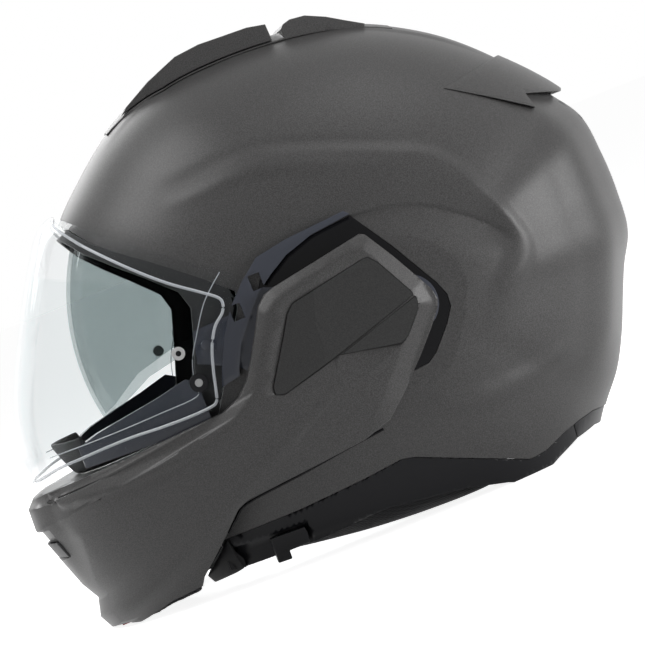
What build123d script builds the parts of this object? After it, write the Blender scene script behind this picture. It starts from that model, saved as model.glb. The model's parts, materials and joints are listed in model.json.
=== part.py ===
import os
from math import cos, degrees, hypot, radians, sin

from build123d import *

# Modular motorcycle helmet, standing on its chin and rear rim.
# +Z is up, the wearer faces -Y, and the wearer's left side is +X.
# The chin bar and the face shield turn about one hinge line along X.

# Driving dimensions in millimetres
HINGE_HEIGHT = 105.0
HINGE_SETBACK = 39.7
SHELL_REACH = 178.0
SHELL_HALF_WIDTH = 120.0
SHELL_WALL = 4.0
CHIN_REACH = 219.0
CHIN_HALF_WIDTH = 134.0
CHIN_SKIN = 3.6
ARM_LENGTH = 108.0
SHIELD_REACH = 208.0
SHIELD_HALF_WIDTH = 126.0
SHIELD_THICKNESS = 2.2

# Clearances
SWEEP_CLEARANCE = 4.0
SWEEP_REACH_CLEARANCE = 5.5
SEAT_GAP = 0.3
RUNNING_GAP = 0.05
CUT_OVERRUN = 5.0

# Shape of the flanks: each section across X is a scaled copy of the side outline
FLANK_POWER = 2.4
SECTION_STEPS = 8
CAP_TURN = 80.0

# Side outlines about the hinge line: turn in degrees from +Y towards +Z, and share of the reach
SHELL_OUTLINE_SHARES = [
    (144.0, 0.999), (136.6, 0.984), (127.3, 0.972), (116.0, 0.947), (105.1, 0.904), (92.4, 0.867),
    (76.5, 0.839), (62.0, 0.818), (50.0, 0.808), (40.0, 0.804), (30.5, 0.798), (23.3, 0.811),
    (13.6, 0.788), (4.5, 0.770), (-5.0, 0.755), (-11.5, 0.724), (-19.0, 0.709), (-28.0, 0.709),
    (-37.0, 0.716), (-46.9, 0.722), (-60.0, 0.790), (-75.0, 0.900), (-92.0, 0.990), (-112.0, 1.045),
    (-132.0, 1.045), (-148.0, 1.012), (-165.0, 1.000), (-180.0, 0.997), (-202.0, 0.994),
]
SPOILER_OUTLINE_SHARES = [
    (62.0, 0.819), (50.0, 0.816), (41.0, 0.8195), (35.0, 0.826), (29.5, 0.833), (20.0, 0.833),
    (0.0, 0.80), (-60.0, 0.80), (-120.0, 0.90), (180.0, 0.90), (120.0, 0.90), (85.0, 0.84),
]
VENT_OUTLINE_SHARES = [
    (124.5, 0.963), (121.5, 0.969), (116.0, 0.968), (109.6, 0.965), (105.0, 0.950), (101.0, 0.932),
    (96.0, 0.917), (92.6, 0.902),
]
VENT_BASE_OUTLINE_SHARES = [
    (90.2, 0.871), (89.5, 0.882), (88.0, 0.889), (85.0, 0.887), (81.0, 0.868),
    (77.4, 0.848), (73.5, 0.832),
]
SHIELD_OUTLINE_SHARES = [
    (143.8, 0.883), (146.3, 0.904), (149.9, 0.911), (156.8, 0.921), (165.3, 0.944), (175.6, 0.985),
    (179.5, 0.994), (-173.5, 1.003), (-165.0, 1.005), (-150.0, 1.0), (-120.0, 1.0), (-60.0, 0.95),
    (0.0, 0.90), (60.0, 0.88), (100.0, 0.87), (130.0, 0.872),
]
CHIN_OUTLINE_SHARES = [
    (-172.9, 0.972), (-171.9, 0.993), (-168.9, 1.004), (-165.7, 0.998), (-159.1, 0.994),
    (-156.3, 0.988), (-154.2, 1.018), (-152.2, 1.018), (-150.8, 0.984), (-146.0, 0.975),
    (-130.0, 0.975), (-110.0, 0.975), (-90.0, 0.975), (-60.0, 0.975), (-30.0, 0.975), (0.0, 0.975),
    (30.0, 0.975), (60.0, 0.975), (90.0, 0.975), (120.0, 0.975), (150.0, 0.970), (170.0, 0.966),
]

ROUND_OUTLINE_SHARES = [(turn, 1.0) for turn in range(0, 360, 20)]

# Side profiles about the hinge line: shares of a reach along Y and Z
FRONT_OPENING_SHARES = [
    [(-1.30, 0.96), (-0.821, 0.591)],
    [(-0.821, 0.591), (-0.759, 0.493), (-0.627, 0.379), (-0.516, 0.285), (-0.439, 0.215)],
    [(-0.439, 0.215), (-0.452, 0.165), (-0.493, 0.105), (-0.550, 0.000), (-0.605, -0.090), (-0.70, -0.20)],
    [(-0.70, -0.20), (-0.79, -0.50)],
    [(-0.79, -0.50), (-0.82, -0.70)],
    [(-0.82, -0.70), (-1.30, -0.70)],
    [(-1.30, -0.70), (-1.30, 0.96)],
]
SEAL_EDGE_SHARES = [
    (-0.798, 0.555), (-0.759, 0.493), (-0.695, 0.433), (-0.627, 0.379), (-0.570, 0.331), (-0.516, 0.285),
    (-0.452, 0.226), (-0.461, 0.170), (-0.500, 0.107), (-0.556, 0.002), (-0.611, -0.090), (-0.690, -0.185),
]
SEAL_INNER_SHARES = [
    (-0.725, -0.175), (-0.668, -0.060), (-0.640, 0.000), (-0.596, 0.130), (-0.570, 0.215), (-0.585, 0.270),
    (-0.655, 0.340), (-0.722, 0.403), (-0.788, 0.470), (-0.835, 0.540),
]
RIM_LINE_SHARES = [
    (-0.80, -0.448), (-0.708, -0.441), (-0.498, -0.432), (-0.295, -0.415), (-0.178, -0.401),
    (-0.140, -0.409), (0.176, -0.545), (0.230, -0.541), (0.305, -0.515), (0.363, -0.503),
    (0.422, -0.498), (0.54, -0.52),
]
TRIM_FOOT_SHARES = [
    (0.54, -0.575), (0.421, -0.545), (0.340, -0.552), (0.260, -0.580), (0.215, -0.600), (0.130, -0.600),
    (0.090, -0.583), (-0.029, -0.551), (-0.149, -0.535), (-0.268, -0.519), (-0.458, -0.534),
    (-0.690, -0.541),
]
ARM_OUTLINE_SHARES = [
    (-0.988, -0.151), (-0.896, -0.111), (-0.834, -0.052), (-0.776, 0.038), (-0.705, 0.162),
    (-0.658, 0.250), (-0.613, 0.290), (-0.562, 0.307), (-0.332, 0.348), (-0.102, 0.390),
    (-0.080, 0.378), (0.006, 0.237), (0.116, 0.033), (0.127, -0.023), (0.109, -0.063), (0.048, -0.138),
    (-0.045, -0.238), (-0.172, -0.363), (-0.287, -0.461), (-0.432, -0.505),
]
CHIN_SEAM_SHARES = [
    (-0.382, -0.268), (-0.505, -0.280), (-0.537, -0.294), (-0.582, -0.341), (-0.629, -0.387),
    (-0.661, -0.417), (-0.672, -0.437), (-0.75, -0.449), (-0.832, -0.4795), (-0.86, -0.4795),
    (-0.90, -0.495), (-1.10, -0.495), (-1.10, -0.135),
]
CHIN_TOP_SHARES = [(-0.985, -0.125), (-0.936, -0.113), (-0.758, -0.097)]
PANEL_SHARES = [
    (-0.111, 0.279), (-0.140, 0.279), (-0.513, 0.207), (-0.552, 0.172), (-0.605, 0.084),
    (-0.736, -0.122), (-0.738, -0.160), (-0.695, -0.172), (-0.405, -0.094), (0.024, 0.036),
    (0.018, 0.062), (-0.075, 0.238),
]
ACCENT_SHARES = [
    (-0.395, -0.097), (-0.107, -0.152), (-0.068, -0.130), (0.022, -0.029), (0.034, 0.014),
    (0.028, 0.030),
]
BAND_SHARES = [
    (-0.128, 0.516), (-0.424, 0.492), (-0.580, 0.464), (-0.680, 0.386), (-0.778, 0.288),
    (-0.856, 0.167), (-0.915, 0.043), (-0.945, -0.040), (-0.852, -0.020), (-0.838, 0.023),
    (-0.790, 0.120), (-0.722, 0.204), (-0.632, 0.307), (-0.549, 0.366), (-0.449, 0.424),
    (-0.306, 0.469), (-0.105, 0.492),
]
LINK_SHARES = [
    (-0.975, 0.250), (-1.010, 0.100), (-0.84, 0.020), (-0.80, -0.02), (0.0, -0.105), (0.0, 0.105),
    (-0.62, 0.33), (-0.80, 0.260),
]
SHIELD_SCREW_SHARES = (-0.945, 0.172)
SHIELD_EDGE_SHARES = [
    (143.4, 1.10), (143.9, 0.867), (145.0, 0.777), (147.1, 0.572), (148.4, 0.431), (149.7, 0.414),
    (153.5, 0.419), (162.6, 0.449), (172.1, 0.480), (-179.5, 0.507), (-174.5, 0.513), (-173.4, 0.532),
    (-173.2, 0.563), (-173.8, 0.716), (-174.2, 0.878), (-173.6, 1.10),
]
CHANNEL_SHARES = [
    (-0.098, 0.487), (0.033, 0.274), (0.159, 0.048), (0.187, -0.023), (0.181, -0.083), (0.135, -0.150),
    (0.038, -0.257), (-0.014, -0.290), (-0.12, -0.300), (-0.56, -0.16), (-0.76, 0.02), (-0.70, 0.20),
    (-0.60, 0.36), (-0.44, 0.455),
]
CROWN_FOAM_SHARES = [
    (-1.30, 0.99), (-0.800, 0.600), (-0.740, 0.510), (-0.610, 0.400), (-0.520, 0.325), (-0.455, 0.260),
    (-0.420, 0.100), (-0.405, -0.050), (0.150, -0.300), (0.380, -0.455), (0.600, -0.485), (1.30, -0.485),
    (1.30, 1.30), (-1.30, 1.30),
]
CHEEK_PAD_SHARES = [
    (-0.640, -0.050), (-0.420, -0.068), (0.130, -0.312), (0.130, -0.560), (0.060, -0.584),
    (-0.037, -0.584), (-0.179, -0.578), (-0.292, -0.569), (-0.415, -0.556), (-0.566, -0.547),
    (-0.705, -0.530), (-0.715, -0.330), (-0.680, -0.150),
]
NECK_ROLL_SHARES = [
    (0.136, -0.340), (0.375, -0.475), (0.600, -0.500), (0.600, -0.574), (0.42, -0.566), (0.26, -0.584),
    (0.136, -0.584),
]
SPOILER_SHARES = [
    (0.345, 0.533), (0.45, 0.548), (0.63, 0.575), (0.78, 0.440), (0.722, 0.412), (0.700, 0.400),
    (0.575, 0.432), (0.583, 0.384), (0.460, 0.462),
]
CAP_COVER_SHARES = [
    (-0.800, -0.536), (-0.806, -0.562), (-0.714, -0.547), (-0.694, -0.541), (-0.712, -0.446),
]
LEVER_SHARES = [
    (-0.600, -0.482), (-0.500, -0.482), (-0.496, -0.500), (-0.500, -0.530), (-0.560, -0.534),
    (-0.560, -0.559), (-0.600, -0.559),
]
LEVER_SLOT_SHARES = [(-0.704, -0.474), (-0.486, -0.474), (-0.486, -0.70), (-0.704, -0.70)]
CURTAIN_SHARES = [
    (-0.672, -0.4382), (-0.75, -0.4502), (-0.820, -0.4760), (-0.820, -0.4785), (-0.796, -0.4785),
    (-0.75, -0.4620), (-0.672, -0.4500),
]
STRAP_PATH_SHARES = [(0.912, 1.25), (0.903, 1.0), (0.878, 0.56), (0.62, 0.30), (0.33, 0.09)]
SUN_VISOR_SHARES = [
    (-0.98, 0.70), (-0.80, 0.62), (-0.40, 0.33), (-0.15, 0.215), (-0.125, 0.135), (-0.190, 0.064),
    (-0.42, 0.115), (-0.595, 0.108), (-0.745, 0.073), (-0.850, 0.016), (-0.900, 0.004), (-0.98, 0.010),
]

# Hinge pins and washers
PIN_RADIUS = 6.0
WASHER_RADIUS = 13.0
WASHER_THICKNESS = 1.6
WASHER_GAP = 1.0
ARM_COVER = 5.5

# Side base plates in their pockets
POCKET_DEPTH = 2.6
SIDE_BASE_THICKNESS = 2.3

# Shield arms, band and centre tab
SHIELD_ARM_THICKNESS = 1.5
SHIELD_ARM_CLEARANCE = 1.2
BAND_RISE = 6.0
BAND_CLEARANCE = 2.3
LINK_RING_RADIUS = 15.0
SHIELD_SCREW_RADIUS = 2.5
TAB_HALF_WIDTH = 21.0
TAB_THICKNESS = 4.5
TAB_TURNS = (-174.2, 181.5)
BAND_HOLE_WIDTH = 6.0
BAND_HOLE_HEIGHT = 8.0
BAND_HOLE_SHARES = ((150.0, 0.72), (161.0, 0.80))
SHIELD_SIDE_SHARE = 0.94

# Lens against fogging
LENS_HALF_WIDTH = 103.0
LENS_THICKNESS = 1.0
LENS_TURNS = (-177.0, 154.0)
LENS_PIN_SHARES = (0.567, 170.5)
LENS_PIN_RADIUS = 3.0
LENS_PIN_LENGTH = 4.6

# Sun visor
VISOR_REACH = 123.0
VISOR_HALF_WIDTH = 100.0
VISOR_THICKNESS = 2.0
VISOR_CLEARANCE = 1.2
VISOR_PIN_RADIUS = 4.0
VISOR_PIN_SHARES = (-0.223, 0.135)
VISOR_PIN_TIP = 0.6
VISOR_ROOM_TURNS = (80.0, 115.0, 150.0, 215.0)
VISOR_ROOM_SHARE = 0.25
LEVER_RISE = 2.2
LEVER_DEPTH = 2.6
LEVER_GAP = 1.0

# Linings
CROWN_FOAM_THICKNESS = 28.0
COMFORT_THICKNESS = 6.0
PAD_INSET = 6.6
CHEEK_PAD_THICKNESS = 29.0
CHEEK_PAD_HALF_SPACE = 60.0
NECK_ROLL_THICKNESS = 15.0

# Trims and seals
TRIM_INSET = 0.6
TRIM_THICKNESS = 5.4
SEAL_RISE = 0.4
CAP_COVER_HALF_SPACE = 44.0
TRIM_SPLIT_SHARE = 0.34

# Top vent
VENT_HALF_WIDTH = 33.0
VENT_FRONT_HALF_WIDTH = 15.0
VENT_REAR_HALF_WIDTH = 26.0
VENT_FLOOR = 0.8
VENT_SLIDE_GAP = 0.6
VENT_SLOT_LENGTH = 30.0
VENT_SLOT_WIDTH = 8.0
VENT_PLAN_TURNS = (126.0, 113.0, 92.0, 72.0)

# Rear exhaust
GRILLE_HALF_WIDTH = 30.0
GRILLE_THICKNESS = 1.8
GRILLE_SLOT = 3.0
GRILLE_PITCH = 8.0
GRILLE_LEVEL_SHARES = (0.300, 0.375)
GRILLE_SLOT_SHARES = (0.318, 0.357)

# Chin bar fittings
CHIN_VENT_HALF_WIDTH = 30.0
CHIN_VENT_HEIGHT = 17.0
CHIN_VENT_LEVEL = 53.5
CHIN_VENT_DEPTH = 2.4
CHIN_VENT_SLIDER_HEIGHT = 9.0
BREATH_GUARD_THICKNESS = 2.4
BREATH_GUARD_HALF_WIDTH = 52.0
BREATH_GUARD_TURNS = (-173.15, 178.0)
CURTAIN_HALF_WIDTH = 70.0
BUTTON_HALF_WIDTH = 14.0
BUTTON_DEPTH = 7.0
BUTTON_HEIGHT = 9.0
BUTTON_TRAVEL = 4.0
BUTTON_GAP = 0.4
BUTTON_PLACE_SHARES = (0.984, -150.8)
CHIN_CORE_SHARE = 0.46

# Latch
STRIKER_REACH = 135.0
STRIKER_TURN = -156.0
STRIKER_RADIUS = 3.5
STRIKER_LENGTH = 15.0
HOOK_THICKNESS = 3.0
HOOK_PIVOT_STANDOFF = 12.0
HOOK_TIP_GAP = 1.5
HOOK_WIDTH = 9.0
HOOK_PIN_RADIUS = 2.5
LATCH_ROOM_SHARE = 0.95
LATCH_ROOM_TURNS = (-8.0, 4.0, 14.0, 25.0)

# Strap and buckle
STRAP_WIDTH = 24.0
STRAP_THICKNESS = 1.8
STRAP_ANCHOR_LEVEL = 62.0
STRAP_ANCHOR_RADIUS = 5.0
STRAP_SLOT_GAP = 1.0
BUCKLE_LENGTH = 36.0
BUCKLE_HEIGHT = 9.0
BUCKLE_LEVEL = 10.0
BUCKLE_LEVER_THICKNESS = 2.5
BUCKLE_PIN_RADIUS = 1.5
BUCKLE_FLOOR_HEIGHT = 3.0
BUCKLE_PIN_SHARE = 1.6

# Bevel around the arms
ARM_BEVEL_START = 129.0
ARM_BEVEL_RISE = 5.0
ARM_BEVEL_RUN = 4.0

# Cover plates let into the arms
PANEL_THICKNESS = 2.2
PANEL_GAP = 0.25
PANEL_RISE = 0.4

# Places worked out from the driving dimensions
SIDE_REACH = 2 * SHELL_HALF_WIDTH
FAR = 2 * CHIN_REACH
HINGE = (HINGE_SETBACK, HINGE_HEIGHT)
SWEEP_HALF_WIDTH = SHELL_HALF_WIDTH + SWEEP_CLEARANCE
SWEEP_REACH = SHELL_REACH + SWEEP_REACH_CLEARANCE
CAP_SHARE = sin(radians(CAP_TURN))
VISOR_PIN = (HINGE_SETBACK + VISOR_PIN_SHARES[0] * SHELL_REACH,
             HINGE_HEIGHT + VISOR_PIN_SHARES[1] * SHELL_REACH)


def polar(reach, turn, centre=HINGE):
    """Point of the side view at a turn about a centre."""
    return (centre[0] + reach * cos(radians(turn)), centre[1] + reach * sin(radians(turn)))


def profile(shares, reach, centre=HINGE):
    """Points of a side view from shares of a reach about a centre."""
    return [(centre[0] + share_y * reach, centre[1] + share_z * reach) for share_y, share_z in shares]


def inset_profile(points, distance):
    """Closed profile moved inwards by a distance, or outwards by a negative one."""
    count = len(points)
    area = sum(points[i][0] * points[(i + 1) % count][1] - points[(i + 1) % count][0] * points[i][1]
               for i in range(count))
    side = distance if area > 0 else -distance
    moved = []
    for i in range(count):
        before, here, after = points[i - 1], points[i], points[(i + 1) % count]
        run_in = hypot(here[0] - before[0], here[1] - before[1])
        run_out = hypot(after[0] - here[0], after[1] - here[1])
        normal_in = (-(here[1] - before[1]) / run_in, (here[0] - before[0]) / run_in)
        normal_out = (-(after[1] - here[1]) / run_out, (after[0] - here[0]) / run_out)
        spread = 1 + normal_in[0] * normal_out[0] + normal_in[1] * normal_out[1]
        moved.append((here[0] + side * (normal_in[0] + normal_out[0]) / spread,
                      here[1] + side * (normal_in[1] + normal_out[1]) / spread))
    return moved


def closed_wire(x, points):
    """Closed run of straight edges in the plane at x."""
    return Wire.make_polygon([(x, y, z) for y, z in points], close=True)


def prism(points, x_low, x_high):
    """Side profile extruded across the helmet."""
    face = Face(closed_wire(x_low, points))
    return Solid.extrude(face, (x_high - x_low, 0, 0))


def smooth_prism(runs, reach, x_low, x_high):
    """Side profile of straight and curved runs, extruded across the helmet."""
    edges = []
    for run in runs:
        points = [(x_low, y, z) for y, z in profile(run, reach)]
        edges.append(Edge.make_line(*points) if len(points) == 2 else Edge.make_spline(points))
    face = Face(Wire(edges))
    return Solid.extrude(face, (x_high - x_low, 0, 0))


def block(x_range, y_range, z_range):
    """Box between two corners."""
    size = [high - low for low, high in (x_range, y_range, z_range)]
    return Solid.make_box(*size, Plane((x_range[0], y_range[0], z_range[0])))


def rod(radius, x_low, x_high, centre):
    """Round bar along X."""
    plane = Plane((x_low, centre[0], centre[1]), x_dir=(0, 1, 0), z_dir=(1, 0, 0))
    return Solid.make_cylinder(radius, x_high - x_low, plane)


def rounded_body(half_width, reach, outline_shares, inset=0, centre=HINGE, creased=False):
    """Solid with flanks, lofted through scaled copies of a side outline."""
    sections = []
    for step in range(-SECTION_STEPS, SECTION_STEPS + 1):
        turn = radians(CAP_TURN * step / SECTION_STEPS)
        x = (half_width - inset) * sin(turn)
        shrink = cos(turn) ** (2 / FLANK_POWER)
        points = []
        for angle, share in outline_shares:
            y, z = polar((reach * share - inset) * shrink, angle, centre)
            points.append((x, y, z))
        if creased:
            sections.append(Wire.make_polygon(points, close=True))
        else:
            sections.append(Wire([Edge.make_spline(points, periodic=True)]))
    return Solid.make_loft(sections)


def shell_body(inset=0):
    """Outer form of the shell, or a form inside it."""
    return rounded_body(SHELL_HALF_WIDTH, SHELL_REACH, SHELL_OUTLINE_SHARES, inset)


def chin_body(inset=0):
    """Outer form of the chin bar, or a form inside it."""
    return rounded_body(CHIN_HALF_WIDTH, CHIN_REACH, CHIN_OUTLINE_SHARES, inset, creased=True)


def shield_body(inset=0):
    """Outer form of the face shield, or a form inside it."""
    return rounded_body(SHIELD_HALF_WIDTH, SHIELD_REACH, SHIELD_OUTLINE_SHARES, inset)


def sweep_body(growth=0):
    """Space that the shell and its fittings keep to while the chin bar passes over."""
    return rounded_body(SWEEP_HALF_WIDTH + growth, SWEEP_REACH + growth, ROUND_OUTLINE_SHARES)


def visor_body(inset=0):
    """Outer form of the sun visor, or a form inside it."""
    return rounded_body(VISOR_HALF_WIDTH, VISOR_REACH, ROUND_OUTLINE_SHARES, inset, VISOR_PIN)


def mirrored(solid):
    """The same solid on the other side of the helmet."""
    return solid.mirror(Plane.YZ)


def one_solid(shape):
    """Largest solid of a result, without slivers."""
    solids = shape.solids()
    return max(solids, key=lambda solid: solid.volume)


NODES = {}


def keep(name, shape):
    """Store a node under its name."""
    NODES[name] = shape


def keep_pair(name, shape):
    """Store a node for the left side and its mirror image for the right."""
    keep(name + "_left", shape)
    keep(name + "_right", mirrored(shape))


# Forms that several pieces share
SHELL_OUTER = shell_body()
SHELL_INNER = shell_body(SHELL_WALL)
CHIN_OUTER = chin_body()
CHIN_INNER = sweep_body()
SHIELD_OUTER = shield_body()
FRONT_CUT = smooth_prism(FRONT_OPENING_SHARES, SHELL_REACH, -SIDE_REACH, SIDE_REACH)
RIM_LINE = profile(RIM_LINE_SHARES, SHELL_REACH)
ARM_OUTLINE = profile(ARM_OUTLINE_SHARES, ARM_LENGTH)
CHANNEL = profile(CHANNEL_SHARES, ARM_LENGTH)
PANEL = profile(PANEL_SHARES, ARM_LENGTH)
ACCENT = profile(ACCENT_SHARES, ARM_LENGTH)
CHIN_PROFILE = (profile(CHIN_TOP_SHARES, CHIN_REACH) + ARM_OUTLINE + profile(CHIN_SEAM_SHARES, CHIN_REACH))
GROUND = block((-FAR, FAR), (-FAR, FAR), (-FAR, 0))


def below_rim(drop=0):
    """Space under the line where the shell ends and the trim begins."""
    points = [(y, z - drop) for y, z in RIM_LINE]
    points = [(-FAR, points[0][1])] + points + [(FAR, points[-1][1]), (FAR, -FAR), (-FAR, -FAR)]
    return prism(points, -SIDE_REACH, SIDE_REACH)


def striker_place():
    """Side view place of the striker pin."""
    return polar(STRIKER_REACH, STRIKER_TURN)


def grille_zone(margin=0):
    """Box in which the exhaust grille sits, at the middle of the rear under the spoiler."""
    low, high = [HINGE_HEIGHT + share * SHELL_REACH for share in GRILLE_LEVEL_SHARES]
    return block((-GRILLE_HALF_WIDTH - margin, GRILLE_HALF_WIDTH + margin), (HINGE_SETBACK, FAR),
                 (low - margin, high + margin))


def outer_shell():
    """Shell with its face opening, side pockets and holes."""
    shell = SHELL_OUTER - SHELL_INNER
    shell = shell - FRONT_CUT - below_rim()
    pocket_floor = shell_body(POCKET_DEPTH)
    pocket = (prism(CHANNEL, 0, SIDE_REACH) + prism(CHANNEL, -SIDE_REACH, 0)) - pocket_floor
    shell = shell - pocket
    grille_floor = shell_body(GRILLE_THICKNESS + SEAT_GAP)
    shell = shell - (grille_zone(SEAT_GAP) - grille_floor)
    holes = [(PIN_RADIUS, HINGE), (VISOR_PIN_RADIUS, VISOR_PIN), (STRIKER_RADIUS, striker_place()),
             (STRAP_ANCHOR_RADIUS, (0, STRAP_ANCHOR_LEVEL))]
    for radius, centre in holes:
        shell = shell - rod(radius, -SIDE_REACH, SIDE_REACH, centre)
    for side in (-1, 1):
        x = side * (VENT_SLOT_LENGTH / 2 + VENT_SLOT_WIDTH)
        shell = shell - block((x - VENT_SLOT_WIDTH / 2, x + VENT_SLOT_WIDTH / 2),
                              (-VENT_SLOT_LENGTH, 0), (HINGE_HEIGHT, FAR))
    return one_solid(shell)


def side_base():
    """Plate in the pocket under the chin bar arm, with the holes for the hinge and visor pins."""
    layer = shell_body(POCKET_DEPTH - SIDE_BASE_THICKNESS) - shell_body(POCKET_DEPTH)
    plate = layer & prism(inset_profile(CHANNEL, SEAT_GAP), 0, SIDE_REACH)
    plate = plate - rod(PIN_RADIUS, 0, SIDE_REACH, HINGE)
    return one_solid(plate)


def crown_foam():
    """Energy absorbing foam under the crown, with room for the raised sun visor."""
    inset = SHELL_WALL + SEAT_GAP
    foam = shell_body(inset) - shell_body(inset + CROWN_FOAM_THICKNESS)
    foam = foam & prism(profile(CROWN_FOAM_SHARES, SHELL_REACH), -SIDE_REACH, SIDE_REACH)
    shift = VISOR_ROOM_SHARE
    room = profile([(shift, -shift), (shift, 0)], VISOR_REACH, VISOR_PIN)
    room = room + [polar(FAR, turn, VISOR_PIN) for turn in VISOR_ROOM_TURNS]
    visor_room = prism(room, -SIDE_REACH, SIDE_REACH) - visor_body(VISOR_THICKNESS + VISOR_CLEARANCE)
    foam = foam - visor_room
    floor_x = CAP_SHARE * (SHELL_HALF_WIDTH - SHELL_WALL) - WASHER_THICKNESS - WASHER_GAP
    for side in (-1, 1):
        low, high = sorted((side * floor_x, side * SIDE_REACH))
        foam = foam - rod(WASHER_RADIUS + WASHER_GAP, low, high, HINGE)
    return one_solid(foam)


def comfort_lining():
    """Fabric lining inside the crown foam."""
    inset = SHELL_WALL + 2 * SEAT_GAP + CROWN_FOAM_THICKNESS
    lining = shell_body(inset) - shell_body(inset + COMFORT_THICKNESS)
    lining = lining & prism(inset_profile(profile(CROWN_FOAM_SHARES, SHELL_REACH), COMFORT_THICKNESS),
                            -SIDE_REACH, SIDE_REACH)
    return one_solid(lining)


def strap_path():
    """Middle line of the left strap in the plane across the helmet, from its anchor to the buckle."""
    low = BUCKLE_LEVEL + BUCKLE_HEIGHT / 2
    drop = STRAP_ANCHOR_LEVEL - low
    path = [(share_x * SHELL_HALF_WIDTH, low + share_z * drop) for share_x, share_z in STRAP_PATH_SHARES]
    return path + [(BUCKLE_LENGTH / 2, low)]


def strap_solid(thickness, width):
    """Flat webbing along the strap's path."""
    path = strap_path()
    upper = []
    lower = []
    for i, (x, z) in enumerate(path):
        before = path[max(i - 1, 0)]
        after = path[min(i + 1, len(path) - 1)]
        run = hypot(after[0] - before[0], after[1] - before[1])
        normal = ((after[1] - before[1]) / run, -(after[0] - before[0]) / run)
        upper.append((x + normal[0] * thickness / 2, -width / 2, z + normal[1] * thickness / 2))
        lower.append((x - normal[0] * thickness / 2, -width / 2, z - normal[1] * thickness / 2))
    face = Face(Wire.make_polygon(upper + lower[::-1], close=True))
    return Solid.extrude(face, (0, width, 0))


def cheek_pad():
    """Foam cheek pad with a slot for the strap."""
    layer = shell_body(PAD_INSET) - shell_body(PAD_INSET + CHEEK_PAD_THICKNESS)
    pad = layer & prism(profile(CHEEK_PAD_SHARES, SHELL_REACH), CHEEK_PAD_HALF_SPACE, SIDE_REACH)
    pad = pad - strap_solid(STRAP_THICKNESS + 2 * STRAP_SLOT_GAP, STRAP_WIDTH + 2 * STRAP_SLOT_GAP)
    return one_solid(pad)


def neck_roll():
    """Padded roll around the back of the neck opening."""
    layer = shell_body(PAD_INSET) - shell_body(PAD_INSET + NECK_ROLL_THICKNESS)
    roll = layer & prism(profile(NECK_ROLL_SHARES, SHELL_REACH), -SIDE_REACH, SIDE_REACH)
    return one_solid(roll)


def trim_layer():
    """Whole lower trim, from the rim line down to its foot."""
    layer = shell_body(TRIM_INSET) - shell_body(TRIM_INSET + TRIM_THICKNESS)
    top = [(y, z - SEAT_GAP) for y, z in RIM_LINE if y > RIM_LINE[1][0] - SEAT_GAP]
    outline = top + profile(TRIM_FOOT_SHARES, SHELL_REACH)
    return (layer & prism(outline, -SIDE_REACH, SIDE_REACH)) - GROUND


def lower_trims():
    """Side trims with the sun visor slot on the left, and the rear trim."""
    whole = trim_layer()
    split_y = HINGE_SETBACK + TRIM_SPLIT_SHARE * SHELL_REACH
    front = block((0, FAR), (-FAR, split_y), (-FAR, FAR))
    rear = block((-FAR, FAR), (split_y + SEAT_GAP, FAR), (-FAR, FAR))
    left = one_solid(whole & front)
    right = mirrored(left)
    slot = prism(profile(LEVER_SLOT_SHARES, SHELL_REACH), 0, SIDE_REACH)
    left = left - (slot - shell_body(TRIM_INSET + LEVER_DEPTH + LEVER_GAP))
    keep("lower_trim_left", one_solid(left))
    keep("lower_trim_right", right)
    keep("rear_trim", one_solid(whole & rear))


def front_trim_cap():
    """Small cover at the front end of the side trim."""
    layer = shell_body(-SEAL_RISE) - shell_body(TRIM_INSET + TRIM_THICKNESS)
    cap = layer & prism(profile(CAP_COVER_SHARES, SHELL_REACH), CAP_COVER_HALF_SPACE, SIDE_REACH)
    return one_solid(cap)


def visor_lever():
    """Thumb lever of the sun visor in the slot of the left trim."""
    layer = shell_body(-LEVER_RISE) - shell_body(TRIM_INSET + LEVER_DEPTH)
    return one_solid(layer & prism(profile(LEVER_SHARES, SHELL_REACH), 0, SIDE_REACH))


def face_seal():
    """Rubber seal around the edge of the face opening."""
    layer = shell_body(-SEAL_RISE) - shell_body(SHELL_WALL)
    outline = profile(SEAL_EDGE_SHARES + SEAL_INNER_SHARES, SHELL_REACH)
    return one_solid(layer & prism(outline, -SIDE_REACH, SIDE_REACH) & FRONT_CUT)


def rear_spoiler():
    """Spoiler across the upper rear of the shell."""
    wing = rounded_body(SHELL_HALF_WIDTH, SHELL_REACH, SPOILER_OUTLINE_SHARES)
    wing = wing & prism(profile(SPOILER_SHARES, SHELL_REACH), -SIDE_REACH, SIDE_REACH)
    return one_solid(wing - shell_body(-SEAT_GAP))


def exhaust_grille():
    """Slotted plate under the spoiler."""
    layer = shell_body() - shell_body(GRILLE_THICKNESS)
    plate = layer & grille_zone()
    count = int(GRILLE_HALF_WIDTH / GRILLE_PITCH)
    low, high = [HINGE_HEIGHT + share * SHELL_REACH for share in GRILLE_SLOT_SHARES]
    for i in range(-count, count + 1):
        x = i * GRILLE_PITCH
        plate = plate - block((x - GRILLE_SLOT / 2, x + GRILLE_SLOT / 2), (HINGE_SETBACK, FAR), (low, high))
    return one_solid(plate)


def vent_plan(margin=0):
    """Plan outline of the top vent, extruded upwards."""
    front_y, broad_y, middle_y, rear_y = [polar(SHELL_REACH, turn)[0] for turn in VENT_PLAN_TURNS]
    half = [(VENT_FRONT_HALF_WIDTH, front_y), (VENT_HALF_WIDTH, broad_y), (VENT_HALF_WIDTH, middle_y),
            (VENT_REAR_HALF_WIDTH, rear_y)]
    outline = half + [(-x, y) for x, y in reversed(half)]
    outline = inset_profile(outline, margin)
    face = Face(Wire.make_polygon([(x, y, HINGE_HEIGHT) for x, y in outline], close=True))
    return Solid.extrude(face, (0, 0, FAR))


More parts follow.
